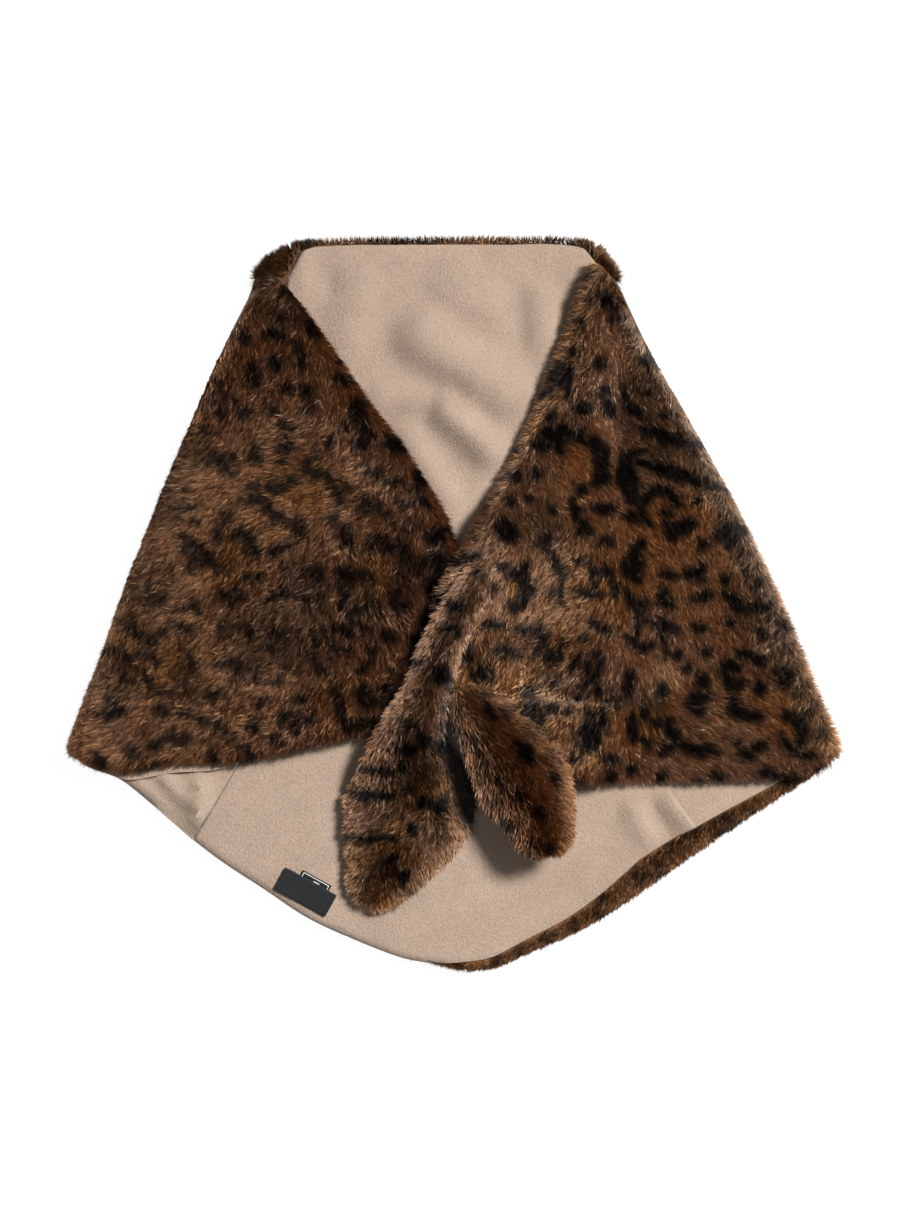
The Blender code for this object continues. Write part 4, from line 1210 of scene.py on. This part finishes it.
def rim_pile(name, column, shares, border, rim, seed, tint):
    """The pile on the upper side of a rolled edge, from the outline in to the lining."""
    line, inner = rim_lines(column, shares, rim.place, border)
    border = np.linalg.norm(inner - line, axis=1)
    inward = (inner - line) / border[:, None]
    steps = np.linspace(0.0, 1.0, 7)
    rows = []
    for share in steps:
        into = rim.inset + share * np.maximum(border - rim.inset - HAIRLINE, 0.001)
        rise = np.full(len(line), BACK_TOP - RIM_DEPTH - RIM_DROP * (1 - share) ** 2)
        rows.append(np.column_stack((line + inward * into[:, None], rise)))
    grid = np.stack(rows, axis=0)
    tilt = (1 - steps) ** 1.5 * 0.9
    normals = np.zeros_like(grid)
    normals[:, :, 2] = np.cos(tilt)[:, None]
    normals[:, :, :2] = -inward[None] * np.sin(tilt)[:, None, None]
    lean = np.zeros_like(grid)
    lean[:, :, :2] = -inward[None] * (0.7 - (0.7 - rim.inner_lean) * steps)[:, None, None]
    flow = np.gradient(line, axis=0)
    flow *= -np.sign(flow[:, 1:2] + 1e-9) / np.linalg.norm(flow, axis=1)[:, None]
    comb = np.zeros_like(grid)
    comb[:, :, :2] = rim.along_share * flow[None]
    height = np.tile(rim.pile * np.clip(border / WIDE_RIM, 0.6, 1.2), (len(steps), 1))
    density = np.tile(np.clip((border - NARROW_RIM) / RIM_FADE, 0.001, 1.0), (len(steps), 1))
    field = Field(grid, normals, grid[:, :, :2], lean, comb, height, density)
    count = RIM_DENSITY * step_lengths(line).sum() * border.mean() * 1e6
    return grow(name, field, count, seed, tint, rim_fur, swirl=0.35, reach=1.2 * rim.pile)


def rim_piles(name, column, shares, borders, face_rim, seed):
    """The rolled edges of a panel that show round the lining, at the face edge and at the hem."""
    face, hem = borders
    return [
        rim_pile(name + "_face_rim", column, shares, face, face_rim, seed, print_face),
        rim_pile(name + "_hem_rim", column, shares, hem, HEM_RIM, seed, print_rim),
    ]


def border_at(share, name):
    widths = [getattr(row, name) for row in BORDERS]
    return np.interp(share, [row.share for row in BORDERS], widths)


def past_narrow(border):
    """0 where the border at the hem is so narrow that its fur doesn't show, 1 where it does."""
    return smooth_step((border - HIDDEN_BORDER) / BORDER_FADE)


def back_pieces(plan, tint):
    """The centre back's fur, pile down, and its rolled edges, which show round the lining."""
    across, down = np.meshgrid(np.linspace(0.0, 1.0, 36), np.linspace(0.0, 1.0, 50))
    grid = np.dstack((plan(across, down), np.full(across.shape, BACK_TOP - CLOTH)))
    from_top, from_hem = edge_lengths(grid, 0)
    distances = {"top": from_top, "hem": from_hem}
    nearest = np.minimum(from_top, from_hem)
    lean = edge_lean(grid, distances)
    grid = trimmed(grid, distances)
    grid[:, :, 2] -= pressed(nearest, BACK_PRESS)
    cloth = fur_cloth("fur_back", grid, grid + (0, 0, CLOTH), tint)
    normals = np.zeros_like(grid)
    normals[:, :, 2] = -1
    height = UNDER_PILE * (0.6 + 0.4 * rounding(nearest, EDGE_ROLL))
    density = 0.2 + 6.0 * (1 - smooth_step(nearest / TIP_ROLL))
    comb = comb_down(grid[:, :, 0], grid[:, :, 1])
    field = Field(grid, normals, grid[:, :, :2], lean, comb, height, density)
    piles = [grow("fur_back_pile", field, BACK_COUNT, 401, tint, brown_fur, width=2.5 * STRAND_WIDTH)]

    def column(share, at):
        return plan(np.full(len(at), share), at)

    shares = np.linspace(0.0, 1.0, 240)
    face = np.maximum(border_at(shares, "face_edge"), BACK_FACE_BORDER)
    hem = HEM_SHOWN * border_at(shares, "hem")
    piles += rim_piles("fur_back", column, shares, (face, hem), FACE_RIM, 433)
    return cloth, piles


# The ties


def tie_pieces(name, rows, troughs, swells, tint, finish, seed, count):
    """A tie end: a strip of fur rolled into a flat tube, its long edges meeting underneath."""
    rows = np.array(rows)
    lengths = lengths_along(rows[:, :2])
    length = lengths[-1]
    line = smooth_curve(rows, lengths / length)
    inset = TIE_INSET / length
    at = np.linspace(inset, 1.0 - inset, 64)
    x, y, half, base, depth = line(at).T
    ahead = line(np.clip(at + 0.01, 0, 1))[:, :2] - line(np.clip(at - 0.01, 0, 1))[:, :2]
    ahead = np.column_stack((unit(ahead), np.zeros(len(at))))[:, None]
    side = np.cross((0.0, 0.0, 1.0), ahead)
    full = 0.25 + 0.75 * rounding(np.minimum(at, 1.0 - at) * length - TIE_INSET, TIE_ROUND)
    half = (np.maximum(half - TIE_INSET, TIE_LEAST_HALF) * full)[:, None]
    rise = (np.minimum(TIE_RISE, 0.3 * depth) * full)[:, None]
    around = np.radians(np.linspace(-88.0, 268.0, 44))
    cos, sin = np.cos(around), np.sin(around)
    middle = np.column_stack((x, y, base + depth * (1 - TIE_SHARE_ABOVE)))
    points = middle[:, None] + side * (half * cos)[:, :, None]
    points[:, :, 2] += rise * sin
    x, y = points[:, :, 0], points[:, :, 1]
    shape = ridge_height(x, y, swells) - ridge_height(x, y, troughs)
    # The troughs go no lower than the lining, but where the tie itself lies lower
    lowest = np.minimum(LINING_TOP + TIE_OVER_LINING + rise * sin, points[:, :, 2])
    points[:, :, 2] = np.maximum(points[:, :, 2] + shape, lowest)
    normals = side * (cos * np.abs(cos) ** 0.6)[None, :, None]
    normals = unit(normals + np.array((0.0, 0.0, 1.0)) * sin[None, :, None])
    wall = np.minimum(CLOTH, 0.6 * rise)[:, :, None]
    cloth = fur_cloth(name, points, points - normals * wall, tint)

    above = (TIE_SHARE_ABOVE * depth - TIE_TOP_CUT)[:, None]
    below = ((1 - TIE_SHARE_ABOVE) * depth - TIE_LOW_CUT)[:, None]
    upward = np.clip(sin, 0.0, 1.0)
    downward = np.clip(-sin, 0.0, 1.0)
    sideways = np.abs(cos) ** 2
    height = (above * upward**0.5 + below * downward**0.5) * (1 - sideways) + TIE_INSET * sideways
    height = np.clip(height - 0.4 * np.maximum(-shape, 0) * upward, *TIE_PILE)
    to_end = 1.0 - smooth_step((at[-1] - at) * length / EDGE_LEAN)
    lean = ahead * to_end[:, None, None] + 0.15 * side * (cos * np.abs(cos))[None, :, None]
    comb = ahead + side * (TIE_SPREAD * cos)[None, :, None]
    density = np.ones(height.shape)
    density[:, sin < -0.2] = 0.25
    field = Field(points, normals, points[:, :, :2], lean, comb, height, density)
    return cloth, [grow(name + "_pile", field, count, seed, tint, finish, swirl=0.45, reach=TIE_REACH)]


# The lining


def cloth_waves(x, y):
    """The lining's low, broad unevenness."""
    waves = enumerate(LINING_WAVES)
    lift = sum(wave.rise * rough_noise(x, y, wave.size, 61 + k) for k, wave in waves)
    return np.clip(lift, *LINING_WAVE_RANGE)


def lining_back_piece(plan):
    """The centre back's lining, its rows denser near the hem."""
    shares = np.concatenate(([0.0, 0.0035], np.linspace(0.007, 0.993, 64), [0.9965, 1.0]))
    parts = 1 - (1 - np.linspace(0.0, 1.0, 96)) ** 1.25
    columns = []
    for share in shares:
        length = column_length(lambda at: plan(np.full(len(at), share), at))
        hem = border_at(share, "hem")
        hem = HAIRLINE + (max(hem, LEAST_BORDER) - HAIRLINE) * past_narrow(hem)
        start = max(border_at(share, "face_edge"), LEAST_BORDER) + GAP
        end = length - HEM_SHOWN * hem - GAP
        rows = (start + (end - start) * parts) / length
        columns.append(plan(np.full(len(rows), share), rows))
    spots = np.stack(columns, axis=1)
    x, y = spots[:, :, 0], spots[:, :, 1]
    level = np.dstack((spots, np.zeros(x.shape)))
    from_top, from_hem = edge_lengths(level, 0)
    to_edge = np.minimum(from_top, from_hem)
    to_seam = np.minimum(*edge_lengths(level, 1))
    press = pressed(to_edge, HEM_PRESS) + pressed(to_seam, SEAM_PRESS)
    press += (1 - past_narrow(border_at(shares, "hem"))) * pressed(from_hem, NARROW_PRESS)
    lift = ridge_height(x, y, LINING_RIDGES) - ridge_height(x, y, LINING_TROUGHS)
    top = LINING_TOP + lift + cloth_waves(x, y) - press
    low = np.minimum(BACK_TOP + GAP + 0.9 * np.maximum(lift, 0.0), top - LEAST_CLOTH)
    top, low = (np.dstack((spots, height)) for height in (top, low))
    return cloth_shell("lining_back", top, low, lining_nap)


def lining_side_piece(name, side, zones, narrow):
    """A side's lining near the hem, from the back seam round the fold and under the front.

    Where the fur's border is narrow it runs to the hem, and under the front a little past it.
    """
    outer, inner = [], []
    past_back = 0
    for zone, value in zones:
        past_back += zone != "back"
        length = column_length(lambda at: side.column(zone, value, at))
        face, hem = side.borders(value if zone == "back" else 0.0)
        first = face + CORNER_SHARE * (length - face - hem)
        last = length - HEM_SHOWN * hem
        if narrow:
            strip = smooth_step((past_back - 8) / 4) * smooth_step((22 - past_back) / 4)
            last = length - STRIP_SHORT + STRIP_REACH * strip
        along = np.linspace(first, last, 30) / length
        column = side.column(zone, value, np.minimum(along, 1.0))
        past = np.maximum(along - 1.0, 0.0) * length
        outward = column[-1] - side.column(zone, value, np.array((0.97,)))[0]
        column += past[:, None] * outward / np.linalg.norm(outward)
        column[:, 2] += STRIP_RISE * smooth_step(past / STRIP_TURN)
        normals = side.normals(zone, value, along)
        far = column - normals * GAP
        near = column - normals * (GAP + LINING)
        if zone == "back":
            lift = ridge_height(column[:, 0], column[:, 1], CORNER_RIDGES)
            press = pressed(last - along * length, HEM_PRESS)
            near[:, 2] += lift + cloth_waves(column[:, 0], column[:, 1]) - press
            far[:, 2] = np.minimum(far[:, 2] + 0.9 * lift, near[:, 2] - LEAST_CLOTH)
        outer.append(far)
        inner.append(near)
    return cloth_shell(name, np.stack(inner, axis=1), np.stack(outer, axis=1), lining_nap)


# The label


def woven_place(u, v, height):
    turn = math.radians(LABEL_TURN)
    x = LABEL_X + u * math.cos(turn) - v * math.sin(turn)
    y = LABEL_Y + u * math.sin(turn) + v * math.cos(turn)
    return np.dstack((x, y, height + LABEL_BEND * (2.0 * u / LABEL_LENGTH) ** 2))


def woven_piece(node, size, base, shift, finish):
    """A small woven rectangle with softened edges, its weave running with the rectangle."""
    length, width, thick = size
    u, v = np.meshgrid(np.linspace(-0.5, 0.5, 60) * length, np.linspace(-0.5, 0.5, 26) * width)
    edge = np.minimum(length / 2 - np.abs(u), width / 2 - np.abs(v))
    soft = pressed(edge, WOVEN_PRESS) - BEAD_RISE * (np.abs(edge - BEAD_INSET) < BEAD_HALF)
    ripple = RIPPLE_RISE * np.sin(u / RIPPLE_LENGTH) * np.sin(v / RIPPLE_WIDTH + 1.0)
    u = u + shift[0]
    v = v + shift[1]
    top = woven_place(u, v, base + thick - soft + ripple)
    low = woven_place(u, v, base + 0 * u)
    return cloth_shell(node, top, low, finish)


def thread_line(name, path, radius):
    """A fine thread on the tab, through points in the label's own directions."""
    path = np.array(path)
    lengths = lengths_along(path)
    at = np.linspace(0.0, lengths[-1], 90)
    u = np.interp(at, lengths, path[:, 0])
    v = np.interp(at, lengths, path[:, 1])
    ahead = unit(np.gradient(np.column_stack((u, v)), axis=0))
    around = np.radians((0, 60, 120, 180, 240, 300))
    grid_u = u[:, None] - ahead[:, 1:2] * radius * np.cos(around)
    grid_v = v[:, None] + ahead[:, 0:1] * radius * np.cos(around)
    height = np.tile(TAB_BASE + TAB_THICK + radius * np.sin(around), (len(at), 1))
    grid = woven_place(grid_u, grid_v, height)
    columns = len(around)
    start = np.arange(len(at) - 1) * columns
    quads = []
    for j in range(columns):
        k = (j + 1) % columns
        quads.append(np.stack((start + j, start + k, start + columns + k, start + columns + j), axis=1))
    return new_mesh(name, grid.reshape(-1, 3), np.concatenate(quads), white_thread)


# Build

# Copies of one fur finish, brightness and tint scaled as painted light and shade: the right front
# brightest, then the left front, the left tie and back pile, the right tie, the rims, and the backing
# dimmest as shade deep in the pile
brown_fur = fur_finish("brown_fur", (0.72, 0.68, 0.67))
left_fur_finish = fur_finish("brown_fur_left", (0.90, 0.81, 0.74))
right_fur_finish = fur_finish("brown_fur_right", (1.12, 1.13, 1.13))
brown_skin = fur_finish("brown_fur_base", (0.5, 0.47, 0.45))
tie_fur = fur_finish("brown_tie_fur", (0.64, 0.53, 0.47))
rim_fur = fur_finish("brown_rim_fur", (0.56, 0.49, 0.43))
lining_nap = lining_finish()
label_weave = woven_finish("black_weave", (0.006, 0.007, 0.008), (0.024, 0.026, 0.029))
tab_weave = woven_finish("black_tab_weave", (0.004, 0.0045, 0.005), (0.018, 0.019, 0.021))
white_thread = thread_finish("white_thread", (0.75, 0.73, 0.68), 0.6)

left_edges = (LEFT_FRONT_TOP, LEFT_BACK_TOP, LEFT_FRONT_HEM, LEFT_BACK_HEM)
left = SidePanel(LEFT_STATIONS, *left_edges, BORDERS[0], LEFT_KNOT_RISE, LEFT_RIDGES)
right_edges = (RIGHT_FRONT_TOP, RIGHT_BACK_TOP, RIGHT_FRONT_HEM, RIGHT_BACK_HEM)
right = SidePanel(RIGHT_STATIONS, *right_edges, BORDERS[-1], RIGHT_KNOT_RISE, RIGHT_RIDGES)
seams = [station_curve(stations, "seam_x", "seam_y") for stations in (LEFT_STATIONS, RIGHT_STATIONS)]
plan = patch(*seams, smooth_curve(FACE_EDGE), smooth_curve(BACK_HEM))

hidden = scattered_marks(71, HIDDEN_LOW, HIDDEN_HIGH, HIDDEN_PITCH)
left_marks = LEFT_MARKS + beyond(hidden, *LEFT_FOLD_LINE)
right_marks = RIGHT_MARKS + beyond(hidden, *RIGHT_FOLD_LINE)
# Painted shade along the right fold
fold_line = station_curve(RIGHT_STATIONS, "fold_x", "fold_y")(np.linspace(0.04, 0.98, 30))
right_fold_painted_shade = []
for x, y in fold_line:
    right_fold_painted_shade.append(Glow(1000 * x + FOLD_PAINTED_SHADE.x, 1000 * y + FOLD_PAINTED_SHADE.y, FOLD_PAINTED_SHADE.radius))

# The fronts' and ties' prints carry painted shade as well as their marks
left_painted_shade = ((LEFT_SHADES, 1.0), (LEFT_DIMS, 0.5))
print_and_shade_left = print_of(left_marks, left_painted_shade, LEFT_GLOWS, LEFT_FROSTS, strength=0.9, seed=100)
right_painted_shade = ((RIGHT_DIMS, 0.42), (right_fold_painted_shade, 0.7))
print_and_shade_right = print_of(right_marks, right_painted_shade, RIGHT_GLOWS, RIGHT_FROSTS, strength=0.96, seed=200)
print_hidden = print_of(hidden, (), (), (), strength=1.0, seed=300)
looks = (((LEFT_TIE_SHADES, 1.0), (LEFT_TIE_DIMS, 0.5)), LEFT_TIE_GLOWS, LEFT_TIE_FROSTS)
print_and_shade_left_tie = print_of(KNOT_MARKS, *looks, strength=1.0, seed=400)
looks = (((RIGHT_TIE_DIMS, 0.62),), RIGHT_TIE_GLOWS, RIGHT_TIE_FROSTS)
print_and_shade_right_tie = print_of(TAIL_MARKS, *looks, strength=1.0, seed=500)


def print_rim(x, y):
    dark, warm = print_hidden(x, y)
    return 0.06 + 0.7 * dark, np.clip(warm + 0.3, 0, 1)


def print_face(x, y):
    dark = 0.25 + 0.2 * noise(x, y, 0.012, 301) + shading(x, y, ((FACE_DIMS, 0.6),))
    return np.clip(dark, 0, 1), warmth(x, y, (), (), 305)


back_fur, back_piles = back_pieces(plan, print_hidden)
left_looks = (LEFT_TROUGHS, LEFT_SWELLS, print_and_shade_left, left_fur_finish, comb_left)
left_fur, left_piles = side_pieces("fur_left", left, *left_looks, fold_share=0.85, seed=100)
right_looks = (RIGHT_TROUGHS, RIGHT_SWELLS, print_and_shade_right, right_fur_finish, comb_right)
right_fur, right_piles = side_pieces("fur_right", right, *right_looks, fold_share=0.62, seed=200)
tie_looks = (LEFT_TIE_TROUGHS, LEFT_TIE_SWELLS, print_and_shade_left_tie, brown_fur)
left_tie, left_tie_piles = tie_pieces("tail_left", LEFT_TAIL, *tie_looks, seed=601, count=34000)
tie_looks = ((), (), print_and_shade_right_tie, tie_fur)
right_tie, right_tie_piles = tie_pieces("tail_right", RIGHT_TAIL, *tie_looks, seed=611, count=22000)

back_lining = lining_back_piece(plan)
corner = [("back", share) for share in np.linspace(1.0, 0.0, 16)]
fold = [("fold", angle) for angle in (-60, -30, 0, 30, 60)]
under_front = [("front", share) for share in np.linspace(0.0, 0.50, 16)]
left_lining = lining_side_piece("lining_left", left, corner + fold + under_front, narrow=True)
corner = [("back", share) for share in np.linspace(1.0, 0.33, 12)]
right_lining = lining_side_piece("lining_right", right, corner, narrow=False)

label_base = TAB_BASE + TAB_THICK + GAP
label_size = (LABEL_LENGTH, LABEL_WIDTH, LABEL_THICK)
label = woven_piece("label", label_size, label_base, (0.0, 0.0), label_weave)
tab_top = LABEL_WIDTH / 2 + TAB_PEEK
tab_size = (TAB_LENGTH, TAB_WIDTH, TAB_THICK)
tab = woven_piece("size_tab", tab_size, TAB_BASE, (TAB_SHIFT, tab_top - TAB_WIDTH / 2), tab_weave)
line_left = TAB_SHIFT - TAB_LENGTH / 2 + LINE_INSET
line_right = TAB_SHIFT + TAB_LENGTH / 2 - LINE_INSET
line_low, line_high = tab_top - LINE_END, tab_top - LINE_START
corners = ((line_left, line_low), (line_left, line_high), (line_right, line_high), (line_right, line_low))
border_line = thread_line("size_tab_line", corners, LINE_RADIUS)
ends = [(TAB_SHIFT + right, tab_top - down) for right, down in (STITCH_START, STITCH_END)]
stitch = thread_line("size_tab_stitch", ends, STITCH_RADIUS)

# Camera, light, floor


def place_object(name, data, place=(0.0, 0.0, 0.0)):
    made = bpy.data.objects.new(name, data)
    bpy.context.scene.collection.objects.link(made)
    made.location = place
    return made


camera_data = bpy.data.cameras.new("camera")
camera_data.lens = 85
camera_data.sensor_width = 36
bpy.context.scene.camera = place_object("camera", camera_data, CAMERA_PLACE)

floor_mesh = bpy.data.meshes.new("floor")
corner_signs = ((-1, -1), (1, -1), (1, 1), (-1, 1))
floor_corners = [(x * FLOOR_HALF, y * FLOOR_HALF, -FLOOR_GAP) for x, y in corner_signs]
floor_mesh.from_pydata(floor_corners, [], [(0, 1, 2, 3)])
floor_light = {"Emission_Color": (1.0, 1.0, 1.0, 1.0), "Emission_Strength": 0.97}
floor_mesh.materials.append(Finish("floor").finish((0.06, 0.06, 0.06), 0.9, **floor_light))
place_object("floor", floor_mesh)

world = bpy.data.worlds.new("world")
bpy.context.scene.world = world
world.use_nodes = True
world.node_tree.nodes["Background"].inputs[0].default_value = (1.0, 1.0, 1.0, 1.0)
world.node_tree.nodes["Background"].inputs[1].default_value = 0.21

key_data = bpy.data.lights.new("key", "AREA")
key_data.shape = "DISK"
key_data.size = 0.6
key_data.energy = 80
key = place_object("key", key_data, KEY_PLACE)
key.rotation_mode = "QUATERNION"
key.rotation_quaternion = Vector(KEY_PLACE).to_track_quat("Z", "Y")
bpy.context.scene.view_settings.view_transform = "Standard"
